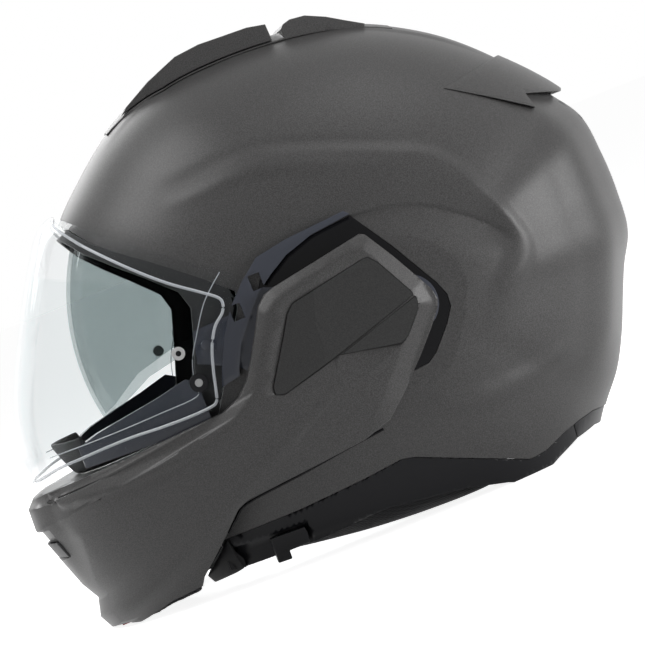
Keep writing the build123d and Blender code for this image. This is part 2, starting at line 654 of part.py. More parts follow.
def vent_roof(top_shares, floor_inset):
    """Slice between a raised outline and the shell, over the width of the vent."""
    top = [polar(SHELL_REACH * share, turn) for turn, share in top_shares]
    foot = [polar(SHELL_REACH / 2, turn) for turn, share in reversed(top_shares)]
    raised = prism(top + foot, -VENT_HALF_WIDTH, VENT_HALF_WIDTH)
    return raised - shell_body(floor_inset)


def top_vent_base():
    """Fixed floor and rear hump of the top vent."""
    floor = (shell_body(-SEAT_GAP - VENT_FLOOR) - shell_body(-SEAT_GAP)) & vent_plan()
    hump = vent_roof(VENT_BASE_OUTLINE_SHARES, -SEAT_GAP) & vent_plan()
    return one_solid(floor + hump)


def top_vent_slider():
    """Sliding scoop at the front of the top vent."""
    scoop = vent_roof(VENT_OUTLINE_SHARES, -SEAT_GAP - VENT_FLOOR - VENT_SLIDE_GAP)
    return one_solid(scoop & vent_plan(SEAT_GAP))


def hook_place():
    """Side view place of the latch hook's pivot, further out than the striker pin."""
    return polar(STRIKER_REACH + HOOK_PIVOT_STANDOFF, STRIKER_TURN)


def hook_x():
    """Inner and outer face of the hook plate."""
    share = STRIKER_REACH / SWEEP_REACH
    inner = SWEEP_HALF_WIDTH * (1 - share ** FLANK_POWER) ** 0.5
    return (inner + SEAT_GAP, inner + SEAT_GAP + HOOK_THICKNESS)


def hook_outline():
    """Side view of the hook: a short arm from the pivot to the pin, with a beak on its lower side."""
    low = STRIKER_REACH + STRIKER_RADIUS + HOOK_TIP_GAP
    high = STRIKER_REACH + HOOK_PIVOT_STANDOFF + HOOK_WIDTH / 2
    corners = [(high, -HOOK_WIDTH / 2), (high, HOOK_WIDTH / 2), (low + HOOK_WIDTH / 2, HOOK_WIDTH),
               (low + HOOK_WIDTH / 4, 1.5 * HOOK_WIDTH), (low, 1.5 * HOOK_WIDTH), (low, -HOOK_WIDTH / 2)]
    return [polar(reach, STRIKER_TURN + degrees(along / STRIKER_REACH)) for reach, along in corners]


def latch_hook():
    """Latch plate that grips the striker pin."""
    low, high = hook_x()
    plate = prism(hook_outline(), low, high)
    return one_solid(plate - rod(HOOK_PIN_RADIUS + RUNNING_GAP, 0, FAR, hook_place()))


def latch_room():
    """Space in the chin bar's wall for the hook, the striker pin and the pin's way out."""
    low, high = hook_x()
    inner = low - CUT_OVERRUN
    outer = high + 2 * SEAT_GAP
    foot = STRIKER_REACH - HOOK_WIDTH - STRIKER_RADIUS
    top = STRIKER_REACH + HOOK_PIVOT_STANDOFF + LATCH_ROOM_SHARE * HOOK_WIDTH
    turns = [STRIKER_TURN + turn for turn in LATCH_ROOM_TURNS]
    points = [polar(foot, turns[0]), polar(foot, turns[-1])] + [polar(top, turn) for turn in reversed(turns)]
    return prism(points, inner, outer)


def hook_pin():
    """Pivot pin of the latch hook, held in the chin bar's foam side."""
    low, high = hook_x()
    return rod(HOOK_PIN_RADIUS, low, high + HOOK_THICKNESS, hook_place())


def chin_core(margin):
    """Foam space across the chin bar."""
    whole = prism(inset_profile(CHIN_PROFILE, margin), -SIDE_REACH, SIDE_REACH)
    limit = HINGE_SETBACK - CHIN_CORE_SHARE * CHIN_REACH
    return whole & block((-FAR, FAR), (-FAR, limit - margin), (-FAR, FAR))


def button_room(margin=0, travel=0):
    """Space for the release button at the bottom middle of the chin bar."""
    share, turn = BUTTON_PLACE_SHARES
    front_y = polar(CHIN_REACH * share, turn)[0]
    return block((-BUTTON_HALF_WIDTH - margin, BUTTON_HALF_WIDTH + margin),
                 (front_y - BUTTON_DEPTH / 2 - margin, front_y + BUTTON_DEPTH / 2 + margin),
                 (SEAT_GAP - margin, BUTTON_HEIGHT + travel + margin))


def chin_vent_zone(height, margin=0):
    """Box at the front middle of the chin bar, around the vent."""
    half = CHIN_VENT_HALF_WIDTH + margin
    return block((-half, half), (-FAR, -CHIN_REACH / 2), (CHIN_VENT_LEVEL - height / 2 - margin,
                                                        CHIN_VENT_LEVEL + height / 2 + margin))


def chin_shell():
    """Painted chin bar with its arms, hollow where the foam sits."""
    bevelled = prism(CHIN_PROFILE, -ARM_BEVEL_START, ARM_BEVEL_START)
    narrow = inset_profile(CHIN_PROFILE, ARM_BEVEL_RUN)
    for side in (-1, 1):
        wires = [closed_wire(side * ARM_BEVEL_START, CHIN_PROFILE),
                 closed_wire(side * (ARM_BEVEL_START + ARM_BEVEL_RISE), narrow)]
        bevelled = bevelled + Solid.make_loft(wires, ruled=True)
    chin = (CHIN_OUTER - CHIN_INNER) & bevelled
    chin = chin - (chin_body(CHIN_SKIN) & chin_core(CHIN_SKIN))
    panel_floor = chin_body(PANEL_THICKNESS + PANEL_GAP)
    for outline in (PANEL, ACCENT):
        chin = chin - (prism(outline, 0, SIDE_REACH) - panel_floor)
        chin = chin - (prism(outline, -SIDE_REACH, 0) - panel_floor)
    pin_end = CAP_SHARE * CHIN_HALF_WIDTH - ARM_COVER
    chin = chin - rod(PIN_RADIUS + RUNNING_GAP, -pin_end, pin_end, HINGE)
    chin = chin - (chin_vent_zone(CHIN_VENT_HEIGHT) - chin_body(CHIN_VENT_DEPTH))
    chin = chin - button_room(BUTTON_GAP, BUTTON_TRAVEL)
    chin = chin - latch_room() - mirrored(latch_room())
    return one_solid(chin - GROUND)


def chin_foam():
    """Foam inside the chin bar."""
    margin = CHIN_SKIN + SEAT_GAP
    foam = (chin_body(margin) - sweep_body(SEAT_GAP)) & chin_core(margin)
    foam = foam - latch_room() - mirrored(latch_room())
    foam = foam - button_room(BUTTON_GAP, BUTTON_TRAVEL)
    for pin in (hook_pin(), mirrored(hook_pin())):
        foam = foam - pin
    return one_solid(foam)


def side_panel(outline):
    """Cover plate let into the chin bar arm."""
    layer = chin_body(-PANEL_RISE) - chin_body(PANEL_THICKNESS)
    return one_solid(layer & prism(inset_profile(outline, PANEL_GAP), 0, SIDE_REACH))


def chin_vent_slider():
    """Sliding shutter in the chin vent's recess."""
    layer = chin_body(SEAT_GAP) - chin_body(CHIN_VENT_DEPTH - SEAT_GAP)
    low = CHIN_VENT_LEVEL - CHIN_VENT_HEIGHT / 2 + SEAT_GAP
    half = CHIN_VENT_HALF_WIDTH - SEAT_GAP
    zone = block((-half, half), (-FAR, -CHIN_REACH / 2), (low, low + CHIN_VENT_SLIDER_HEIGHT))
    return one_solid(layer & zone)


def breath_guard():
    """Flexible guard that stands up behind the lower edge of the face opening."""
    inner = sweep_body(SEAT_GAP)
    layer = sweep_body(SEAT_GAP + BREATH_GUARD_THICKNESS) - inner
    sector = [polar(FAR, turn) for turn in BREATH_GUARD_TURNS] + [HINGE]
    return one_solid(layer & prism(sector, -BREATH_GUARD_HALF_WIDTH, BREATH_GUARD_HALF_WIDTH))


def chin_curtain():
    """Fabric curtain under the chin, behind the bottom edge of the chin bar."""
    ring = chin_body(2 * CHIN_SKIN) - sweep_body(SEAT_GAP)
    outline = profile(CURTAIN_SHARES, CHIN_REACH)
    return one_solid(ring & prism(outline, -CURTAIN_HALF_WIDTH, CURTAIN_HALF_WIDTH))


def release_button():
    """Chin bar release, pressed upwards."""
    return one_solid(button_room())


def face_shield():
    """Clear shield with its lip along the top edge."""
    layer = SHIELD_OUTER - shield_body(SHIELD_THICKNESS)
    outline = [polar(SHIELD_REACH * share, turn) for turn, share in SHIELD_EDGE_SHARES]
    shield = layer & prism(outline, -SIDE_REACH, SIDE_REACH)
    shield = shield - rod(LENS_PIN_RADIUS, -SIDE_REACH, SIDE_REACH, lens_pin_place())
    shield = shield - rod(SHIELD_SCREW_RADIUS, -SIDE_REACH, SIDE_REACH, shield_screw_place())
    return one_solid(shield)


def lens_pin_place():
    """Side view place of the pins that hold the lens."""
    share, turn = LENS_PIN_SHARES
    return polar(share * SHIELD_REACH, turn)


def shield_screw_place():
    """Side view place of the screw that holds the shield to its arm."""
    return profile([SHIELD_SCREW_SHARES], ARM_LENGTH)[0]


def shield_face_x(reach):
    """Distance of the shield's outer face from the middle, at a distance from the hinge line."""
    return SHIELD_HALF_WIDTH * (1 - (reach / SHIELD_REACH / SHIELD_SIDE_SHARE) ** FLANK_POWER) ** 0.5


def shield_arm():
    """Band beside the shield's rear edge, and the hidden plate that turns on the hinge pin."""
    inner = shell_body(-SHIELD_ARM_CLEARANCE)
    plate_layer = shell_body(-SHIELD_ARM_CLEARANCE - SHIELD_ARM_THICKNESS) - inner
    band = shell_body(-BAND_RISE) - shell_body(-BAND_CLEARANCE)
    band = band & prism(profile(BAND_SHARES, ARM_LENGTH), 0, SIDE_REACH)
    link = plate_layer & prism(profile(LINK_SHARES, ARM_LENGTH), 0, SIDE_REACH)
    ring = plate_layer & rod(LINK_RING_RADIUS, 0, SIDE_REACH, HINGE)
    screw_y, screw_z = shield_screw_place()
    reach = hypot(screw_y - HINGE_SETBACK, screw_z - HINGE_HEIGHT)
    face_x = shield_face_x(reach)
    screw = rod(SHIELD_SCREW_RADIUS, face_x - BAND_RISE - SHIELD_THICKNESS, face_x, (screw_y, screw_z))
    arm = band + link + ring + (screw - inner)
    arm = arm - rod(PIN_RADIUS + RUNNING_GAP, 0, SIDE_REACH, HINGE)
    for turn, share in BAND_HOLE_SHARES:
        y, z = polar(share * ARM_LENGTH, turn)
        arm = arm - block((0, SIDE_REACH), (y - BAND_HOLE_WIDTH / 2, y + BAND_HOLE_WIDTH / 2),
                          (z - BAND_HOLE_HEIGHT / 2, z + BAND_HOLE_HEIGHT / 2))
    return one_solid(arm)


def shield_tab():
    """Lift tab at the bottom middle of the shield."""
    layer = shield_body(-TAB_THICKNESS) - shield_body(-SEAT_GAP)
    sector = [polar(FAR, turn) for turn in TAB_TURNS] + [HINGE]
    return one_solid(layer & prism(sector, -TAB_HALF_WIDTH, TAB_HALF_WIDTH))


def fog_lens():
    """Thin lens inside the shield."""
    inset = SHIELD_THICKNESS + SEAT_GAP
    layer = shield_body(inset) - shield_body(inset + LENS_THICKNESS)
    sector = [polar(FAR, turn) for turn in LENS_TURNS] + [HINGE]
    lens = layer & prism(sector, -LENS_HALF_WIDTH, LENS_HALF_WIDTH)
    return one_solid(lens - rod(LENS_PIN_RADIUS, -SIDE_REACH, SIDE_REACH, lens_pin_place()))


def lens_pin():
    """Pin through the shield that holds the lens."""
    outer = shield_face_x(LENS_PIN_SHARES[0] * SHIELD_REACH) + SEAT_GAP
    return rod(LENS_PIN_RADIUS, outer - LENS_PIN_LENGTH, outer, lens_pin_place())


def sun_visor():
    """Tinted inner visor with its side arms."""
    layer = visor_body() - visor_body(VISOR_THICKNESS)
    visor = layer & prism(profile(SUN_VISOR_SHARES, SHELL_REACH), -SIDE_REACH, SIDE_REACH)
    visor = visor - rod(VISOR_PIN_RADIUS + RUNNING_GAP, -SIDE_REACH, SIDE_REACH, VISOR_PIN)
    return one_solid(visor)


def fixed_pins():
    """Hinge pins, washers, visor pins, striker pins and strap anchors."""
    floor_x = CAP_SHARE * (SHELL_HALF_WIDTH - SHELL_WALL)
    pin_end = CAP_SHARE * CHIN_HALF_WIDTH - ARM_COVER - SEAT_GAP
    keep_pair("hinge_pin", rod(PIN_RADIUS, floor_x, pin_end, HINGE))
    washer = rod(WASHER_RADIUS, floor_x - WASHER_THICKNESS, floor_x, HINGE)
    keep_pair("hinge_washer", washer)
    base_x = CAP_SHARE * (SHELL_HALF_WIDTH - POCKET_DEPTH)
    visor_x = CAP_SHARE * VISOR_HALF_WIDTH
    keep_pair("sun_visor_pin", rod(VISOR_PIN_RADIUS, visor_x - VISOR_THICKNESS - VISOR_PIN_TIP,
                               floor_x, VISOR_PIN))
    low, high = hook_x()
    keep_pair("striker_pin", rod(STRIKER_RADIUS, high + SEAT_GAP - STRIKER_LENGTH, high + SEAT_GAP,
                                 striker_place()))
    anchor = (0, STRAP_ANCHOR_LEVEL)
    strap_x = strap_path()[1][0] + STRAP_THICKNESS
    keep_pair("strap_anchor", rod(STRAP_ANCHOR_RADIUS, strap_x, base_x, anchor))


def straps_and_buckle():
    """Chin straps meeting in a buckle with a lever."""
    strap = strap_solid(STRAP_THICKNESS, STRAP_WIDTH)
    keep_pair("chin_strap", strap)
    low, high = BUCKLE_LEVEL, BUCKLE_LEVEL + BUCKLE_HEIGHT
    half_width = STRAP_WIDTH / 2 + BUCKLE_LEVER_THICKNESS
    half_length = BUCKLE_LENGTH / 2 - SEAT_GAP
    frame = block((-half_length, half_length), (-half_width, half_width), (low, high))
    floor_z = low + BUCKLE_FLOOR_HEIGHT
    lever_room = block((-half_length + BUCKLE_HEIGHT, half_length + CUT_OVERRUN),
                       (-half_width + BUCKLE_LEVER_THICKNESS, half_width - BUCKLE_LEVER_THICKNESS),
                       (floor_z, high + CUT_OVERRUN))
    pin_x = -half_length + BUCKLE_PIN_SHARE * BUCKLE_HEIGHT
    pin_z = floor_z + BUCKLE_LEVER_THICKNESS + SEAT_GAP
    eye_half = STRAP_WIDTH / 2 - 2 * SEAT_GAP
    pin_plane = Plane((pin_x, -half_width, pin_z), x_dir=(1, 0, 0), z_dir=(0, 1, 0))
    eye_plane = Plane((pin_x, -eye_half, pin_z), x_dir=(1, 0, 0), z_dir=(0, 1, 0))
    pin = Solid.make_cylinder(BUCKLE_PIN_RADIUS, 2 * half_width, pin_plane)
    keep("buckle_frame", one_solid((frame - lever_room) + pin))
    plate = block((pin_x, half_length), (-eye_half, eye_half),
                  (high - BUCKLE_LEVER_THICKNESS, high + SEAT_GAP))
    eye = Solid.make_cylinder(BUCKLE_LEVER_THICKNESS, 2 * eye_half, eye_plane)
    bore = Solid.make_cylinder(BUCKLE_PIN_RADIUS + RUNNING_GAP, 2 * half_width, pin_plane)
    keep("buckle_lever", one_solid((plate + eye) - bore))


keep("outer_shell", outer_shell())
keep_pair("side_base", side_base())
keep("crown_foam", crown_foam())
keep("comfort_lining", comfort_lining())
keep_pair("cheek_pad", cheek_pad())
keep("neck_roll", neck_roll())
lower_trims()
keep_pair("front_trim_cap", front_trim_cap())
keep("face_seal", face_seal())
keep("rear_spoiler", rear_spoiler())
keep("exhaust_grille", exhaust_grille())
keep("top_vent_base", top_vent_base())
keep("top_vent_slider", top_vent_slider())
fixed_pins()
straps_and_buckle()
keep("sun_visor", sun_visor())
keep("sun_visor_lever", visor_lever())
keep("chin_shell", chin_shell())
keep("chin_foam", chin_foam())
keep_pair("hook_pin", hook_pin())
keep_pair("latch_hook", latch_hook())
keep_pair("side_panel", side_panel(PANEL))
keep_pair("accent_plate", side_panel(ACCENT))
keep("chin_vent_slider", chin_vent_slider())
keep("breath_guard", breath_guard())
keep("chin_curtain", chin_curtain())
keep("release_button", release_button())
keep("face_shield", face_shield())
keep_pair("shield_arm", shield_arm())
keep("shield_tab", shield_tab())
keep("fog_lens", fog_lens())
keep_pair("lens_pin", lens_pin())

os.makedirs("parts", exist_ok=True)
for node_name, node_shape in NODES.items():
    export_step(node_shape, os.path.join("parts", node_name + ".step"))
    print(node_name, round(node_shape.volume, 1))
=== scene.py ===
import json
import math

import bmesh
import bpy
import numpy as np
from mathutils import Matrix, Vector


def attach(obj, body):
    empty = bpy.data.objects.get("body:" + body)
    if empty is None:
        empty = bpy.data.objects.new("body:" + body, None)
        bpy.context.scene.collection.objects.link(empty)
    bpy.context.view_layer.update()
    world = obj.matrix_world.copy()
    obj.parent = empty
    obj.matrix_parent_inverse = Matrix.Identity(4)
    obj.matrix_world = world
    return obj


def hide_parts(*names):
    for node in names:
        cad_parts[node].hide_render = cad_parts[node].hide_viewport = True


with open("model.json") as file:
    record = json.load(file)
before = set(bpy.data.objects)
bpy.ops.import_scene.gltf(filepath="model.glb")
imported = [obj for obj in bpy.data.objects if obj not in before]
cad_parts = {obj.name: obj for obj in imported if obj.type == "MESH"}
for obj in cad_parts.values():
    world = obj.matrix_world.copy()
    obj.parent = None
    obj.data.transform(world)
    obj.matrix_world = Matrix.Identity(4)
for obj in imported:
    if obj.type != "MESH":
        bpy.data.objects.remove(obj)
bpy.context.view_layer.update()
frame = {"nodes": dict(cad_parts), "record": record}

nodes = frame["nodes"]
scene = bpy.context.scene
scene.view_settings.view_transform = "Standard"
# A look through shield, lens and visor on both sides crosses more clear faces than the usual eight
scene.cycles.transparent_max_bounces = 40

MM = 0.001
# Points nearer than this, in metres, are one, and no divisor is smaller than the tiny one
WELD_DISTANCE, TINY = 1e-6, 1e-9
# Sides of the helmet by the sign of X
SIDE_NAMES = {-1: "right", 1: "left"}

# Hinge line and sizes of the main forms, in millimetres, as in the part's source
HINGE_Y, HINGE_Z = 39.7, 105.0
SHELL_HALF_WIDTH, SHELL_REACH, SHELL_WALL = 120.0, 178.0, 4.0
CHIN_HALF_WIDTH, CHIN_REACH = 134.0, 219.0
SWEEP_HALF_WIDTH, SWEEP_REACH = 124.0, 183.5
SHIELD_HALF_WIDTH, SHIELD_REACH = 126.0, 208.0
ARM_LENGTH = 108.0
POCKET_DEPTH = 2.6
TRIM_INSET = 0.6
# Further out than any form, for cuts that go right through
BIG = 2 * CHIN_REACH
# How far a dressed skin lies inside its solid's own face
COVER_GAP = 0.12

# Main forms across the helmet: the power of their flank's curve, the turn of the last full ring in degrees,
# how the rings crowd towards the flanks, and the size of the innermost ring on the flat ends
FLANK_POWER = 2.4
CAP_TURN = 80.0
ROW_CROWDING = 2.0
CAP_CENTRE_SHARE = 0.03
# Rings across and points around of the forms' meshes, and rings on the flat ends
SHELL_STEPS, SHELL_CAP_RINGS = (230, 640), 24
CHIN_STEPS, CHIN_CAP_RINGS = (230, 720), 30
TRIM_STEPS, RIM_STEPS, CUT_STEPS = (160, 400), (120, 360), (40, 180)
# Steps between two points of a smooth run
FORM_LINE_STEPS, SHIELD_LINE_STEPS, GAP_SHADE_STEPS, STRAP_STEPS = 4, 5, 6, 8

# Outlines about the hinge line in the side view, as turn in degrees and share of the form's reach
SHELL_OUTLINE = [
    (144.0, 0.999), (136.6, 0.984), (127.3, 0.972), (116.0, 0.947), (105.1, 0.904), (92.4, 0.867),
    (76.5, 0.839), (62.0, 0.818), (50.0, 0.808), (40.0, 0.804), (30.5, 0.798), (23.3, 0.811),
    (13.6, 0.788), (4.5, 0.770), (-5.0, 0.755), (-11.5, 0.724), (-19.0, 0.709), (-28.0, 0.709),
    (-37.0, 0.716), (-46.9, 0.722), (-60.0, 0.790), (-75.0, 0.900), (-92.0, 0.990), (-112.0, 1.045),
    (-132.0, 1.045), (-148.0, 1.012), (-165.0, 1.000), (-180.0, 0.997), (-202.0, 0.994),
]
CHIN_OUTLINE = [
    (-172.9, 0.972), (-171.9, 0.993), (-168.9, 1.004), (-165.7, 0.998), (-159.1, 0.994), (-156.3, 0.988),
    (-154.2, 1.018), (-152.2, 1.018), (-150.8, 0.984), (-146.0, 0.975), (-130.0, 0.975), (-110.0, 0.975),
    (-90.0, 0.975), (-60.0, 0.975), (-30.0, 0.975), (0.0, 0.975), (30.0, 0.975), (60.0, 0.975),
    (90.0, 0.975), (120.0, 0.975), (150.0, 0.970), (170.0, 0.966),
]
SHIELD_OUTLINE = [
    (143.8, 0.883), (146.3, 0.904), (149.9, 0.911), (156.8, 0.921), (165.3, 0.944), (175.6, 0.985),
    (179.5, 0.994), (-173.5, 1.003), (-165.0, 1.005), (-150.0, 1.0), (-120.0, 1.0), (-60.0, 0.95),
    (0.0, 0.90), (60.0, 0.88), (100.0, 0.87), (130.0, 0.872),
]

# Cuts in the shell in the side view, as Y and Z from the hinge line, in shares of the shell's reach
FRONT_OPENING = [
    (-1.30, 0.96), (-0.821, 0.591), (-0.790, 0.542), (-0.759, 0.493), (-0.695, 0.433), (-0.627, 0.379),
    (-0.570, 0.331), (-0.516, 0.285), (-0.439, 0.215), (-0.443, 0.190), (-0.452, 0.165), (-0.470, 0.135),
    (-0.493, 0.105), (-0.550, 0.000), (-0.605, -0.090), (-0.70, -0.20), (-0.79, -0.50), (-0.82, -0.70),
    (-1.30, -0.70),
]
RIM_LINE = [
    (-0.80, -0.448), (-0.708, -0.441), (-0.498, -0.432), (-0.295, -0.415), (-0.178, -0.401),
    (-0.140, -0.409), (0.176, -0.545), (0.230, -0.541), (0.305, -0.515), (0.363, -0.503), (0.422, -0.498),
    (0.54, -0.52),
]
# Pocket under the arm, in shares of the arm's length
CHANNEL = [
    (-0.098, 0.487), (0.033, 0.274), (0.159, 0.048), (0.187, -0.023), (0.181, -0.083), (0.135, -0.150),
    (0.038, -0.257), (-0.014, -0.290), (-0.12, -0.300), (-0.56, -0.16), (-0.76, 0.02), (-0.70, 0.20),
    (-0.60, 0.36), (-0.44, 0.455),
]
# Crease at the back of the shell: turn in degrees about the hinge line, distance in millimetres
REAR_EDGE_LINE = [
    (40, 120), (34, 122), (31, 124), (25.5, 122), (9, 113.5), (-7, 112), (-18, 110), (-31, 108),
]

# Form lines in the side view, as Y and Z in millimetres
SWOOSH_LINE = [
    (-60, 200.6), (-51, 201.1), (-34, 201.5), (-17, 202.2), (-4, 201.5), (6, 199), (16, 196), (37, 188.3),
    (59.5, 178.7), (71.6, 173.4), (80.6, 167.2), (87.7, 158.9), (93.2, 149.7), (99.8, 135.1),
    (104.4, 121.8), (106.2, 113.5), (104.2, 106.1), (98.5, 99.1), (91.2, 92.3), (81.6, 84.1),
    (71.5, 75.6),
]
RECESS_LINE = [
    (10, 158.2), (30, 157.6), (37, 157), (44.7, 156.1), (58.1, 152.7), (70.1, 147.2), (79.6, 140.7),
    (88, 134.2), (94.1, 128.5), (98.9, 122.3), (101.1, 116.6),
]
SHELL_LOW_CREASE = [(20, 56), (36, 53), (51, 49), (67, 47), (90, 48), (111, 52), (128, 58)]
BEVEL_LINE = [
    (-162, 72), (-144, 71.6), (-128, 71.2), (-112, 72.3), (-95, 73.2), (-79, 76), (-64, 83), (-52, 91),
    (-43, 103), (-33, 120), (-29, 127), (-22, 132), (-8, 136), (22, 141), (27, 140), (31, 133), (42, 111),
    (43, 104), (29, 88), (8, 66), (-6, 52),
]
CHIN_PLANE_LINE = [
    (-159, -10), (-159, 12), (-157, 30), (-155.5, 44), (-155, 54), (-138, 61), (-121, 64), (-104, 67),
    (-87, 70), (-70, 76),
]
BAND_END_LINE = [(-166, 84), (-161, 70)]
TRIM_RIB_LINE = [
    (-95, 18), (-66, 14.5), (-48, 13.4), (-28, 13.4), (-14, 12), (9, 9.2), (25, 7.2), (46, 2), (60, -4),
]

# Lines on the shield, as X, Y and Z in millimetres, and the radii of the clear edges along them, drawn as
# tubes with a painted highlight
SHIELD_RIDGE_LINE = [
    (0, -107, 212.4), (24.8, -107.8, 211.2), (37.7, -108.7, 206.8), (62.5, -101.8, 195.2),
    (77.1, -93.7, 185.1), (91.7, -81.6, 171.9), (102.4, -68.5, 159.5), (110.1, -55.2, 149.3),
    (113.4, -48.2, 143.7), (114.3, -46.9, 140), (114.4, -49, 135.5), (113.7, -54.9, 130.3),
    (113.5, -60, 121.3), (113, -63.7, 110), (112.8, -66.2, 100), (112.3, -67.8, 95.4), (111, -71.4, 93.6),
    (106, -84.5, 92.8), (99.3, -98.7, 92.9), (91.1, -112.8, 93.4), (81.3, -126.2, 93), (68.4, -139.8, 92),
    (51.9, -152.4, 90.9), (26, -164.1, 87.9), (0, -167.6, 86.8),
]
LENS_EDGE_LINE = [
    (112.9, -42.3, 155), (111.8, -50.2, 148.4), (111, -56.6, 141.8), (110.5, -64.6, 129.8),
    (110, -71.1, 118.9), (109.7, -74.7, 106.8), (109.4, -76, 100.9), (100.7, -96.1, 99.5),
    (88.9, -116.1, 98.5), (71.8, -136.5, 97.9), (47, -155.2, 97.4),
]
RIDGE_RADIUS = 0.8
LENS_EDGE_RADIUS = 0.3
# The lens edges lie this share of the way out, inside the shield
LENS_EDGE_SHARE = 0.97

# Round buttons inside the shield: places and radii, then their profile as share of the radius and depth
DISC_PLACE, DISC_RADIUS = (110.4, -72.5, 107.1), 4.8
PIN_PLACE, PIN_RING_RADIUS = (108.8, -76.6, 124.5), 3.4
BUTTON_PROFILE = [(0.42, -1.0), (0.45, -0.5), (0.9, -0.4), (1.0, -0.6), (1.0, -1.6)]

# Liner that stands on the chin bar's top edge, as Y and Z, and how far it lies inside the shield's form and
# outside the swept room of the shell
CHIN_RIM_PLACES = [
    (-140, 86), (-140, 97), (-128, 101), (-112, 104), (-95, 107), (-78, 111), (-73, 108), (-73, 86),
]
RIM_OUTER_INSET, RIM_INNER_INSET = 5.6, -0.8
# Joint behind the front cap, as Y and Z, and how far out it starts and ends
CAP_JOINT_PLACES = [(-90.5, 10), (-82.5, 8.6), (-81.5, 24), (-86, 29), (-90, 27)]
CAP_JOINT_X = (52.0, 64.0)

# Line on the shell along the lower edge of the chin bar's arm, as X, Y and Z in millimetres, for the black
# strip of painted shade in the gap under the arm
ARM_GAP_SHADE_LINE = [
    (75.3, -84.9, 29), (82.1, -79.3, 34.7), (89.5, -70.9, 40.5), (104.1, -42, 44.8), (112.3, -13.9, 49),
    (115.2, 5, 51.3),
]
ARM_GAP_SHADE_RADIUS = 0.75

# Chin straps in the plane across the helmet, as X and Z, then the rib along each edge and the web between
STRAP_PATH = [(109.4, 73.9), (108.4, 62.0), (105.4, 41.1), (74.4, 28.8), (39.6, 18.8), (18.0, 14.5)]
STRAP_WIDTH, STRAP_THICKNESS = 24.0, 1.8
STRAP_EDGE, STRAP_RIB, STRAP_WEB_SHARE = 0.4, 2.4, 0.8

# Breath guard: its height and its lean forwards, as shares of the solid's height
GUARD_HEIGHT_SHARE, GUARD_LEAN = 0.68, 0.22
GUARD_VOXEL, GUARD_RELAX = 1.3, 5

# Soft pieces, in millimetres: how far each is drawn in before it swells, the cloth run, and the seams' sizes
# as pitch, depth and width, or as depth and width
PAD_SHRINK, PAD_RELAX, RELAX_SHARE = 1.6, 2, 0.5
CLOTH_FRAMES, CLOTH_PRESSURE, CLOTH_QUALITY = 16, 4.0, 5
NECK_CENTRE_Y, NECK_ROLL_REACH = 30.0, 85.0
NECK_SEAM = (24.0, 1.4, 1.6)
CHEEK_SEAM_X, CHEEK_SEAM_Y, CHEEK_SEAM_LEAN = 72.0, -10.0, 0.12
CHEEK_SEAM = (1.3, 1.8)
LINING_SEAM_X = 34.0
LINING_LONG_SEAM, LINING_CROSS_SEAM = (1.2, 1.6), (62.0, 1.0, 1.6)
CURTAIN_SEAM = (17.5, 0.35, 1.2)
CURTAIN_VOXEL, CURTAIN_RELAX, CURTAIN_FILL = 1.2, 3, 0.1

# Angles in degrees from which an edge is rounded, or stays sharp in the shading
EDGE_ANGLE = 35.0
SHELL_SHARP, CHIN_SHARP, LINER_SHARP, TUBE_SHARP, PAD_SHARP, SOLID_SHARP = 28.0, 24.0, 40.0, 60.0, 70.0, 25.0
# Roundings in millimetres and their steps, the number of sides of round pieces, and the share of Z from which
# a tube's direction counts as upright
EDGE_SEGMENTS = 2
VENT_ROUNDING = RIM_ROUNDING = TAB_ROUNDING = 0.8
TUBE_SIDES, BUTTON_SIDES = 10, 48
UPRIGHT_SHARE = 0.9

# Shell relief: heights in millimetres
CREST_RISE, SCOOP_DEPTH, RECESS_DEPTH = 2.0, 2.0, 3.3
FRONT_DIP, REAR_RISE, LOW_RISE, CROWN_RISE = 1.1, 2.4, 1.1, 0.8
# Shell relief: where each form fades in or out, from and to, in shares of its line, millimetres or degrees
SHELL_FLANK_X = (30.0, 80.0)
CREST_START, CREST_END = (0.0, 0.25), (0.88, 1.0)
CREST_OUTSIDE, CREST_INSIDE = (0.0, 8.0), (0.0, 13.0)
SCOOP_POWER, SCOOP_LEAST_WIDTH = 1.2, 0.5
SCOOP_FRONT_Y, SCOOP_REAR_TURN, SCOOP_FRONT_TURN = (-4.0, 34.0), (5.0, 24.0), (150.0, 170.0)
RECESS_STEP, RECESS_FADE = (-1.0, 0.8), (0.0, 24.0)
DIP_START, DIP_END = (0.0, 0.1), (0.3, 0.5)
DIP_INNER, DIP_OUTER = (-7.0, 0.5), (1.5, 10.0)
REAR_LOW_TURN, REAR_HIGH_TURN, REAR_WIDTH = (-45.0, -25.0), (30.0, 40.0), (0.0, 18.0)
LOW_START, LOW_END, LOW_WIDTH = (0.0, 0.2), (0.75, 1.0), (0.0, 9.0)
CROWN_X, CROWN_REAR_TURN, CROWN_FRONT_TURN = (27.0, 31.0), (42.0, 60.0), (118.0, 132.0)

# Chin relief: where the flank and the arm begin, then slopes, roundings and limits of its falls
CHIN_FLANK_X, ARM_Y = (18.0, 50.0), (-80.0, -50.0)
BEVEL_SLOPE, BEVEL_ARM_SLOPE, BEVEL_ROUNDING = 0.42, 0.20, 0.7
BEVEL_END, BEVEL_FRONT_Y = (0.90, 1.0), (-164.0, -160.0)
PLANE_SLOPE, PLANE_SLOPE_LOSS, PLANE_ROUNDING, PLANE_LIMIT = 0.34, 0.16, 0.6, 12.0
PLANE_TURN, PLANE_END, PLANE_BEVEL_EDGE = (0.40, 0.60), (0.85, 1.0), (-2.0, 1.0)
PLANE_UPPER_SHARE = 0.45
GROOVE_DEPTH, GROOVE_EDGE, GROOVE_Y, GROOVE_Z, GROOVE_REACH = 1.1, (0.3, 1.3), -163, 77, 9
FALL_LIMIT, ARM_FALL_EXTRA = 3.2, 1.4
# Trim relief: depth under the rib and the width of the step
TRIM_DEPTH, TRIM_STEP = 1.5, (0.0, 1.6)

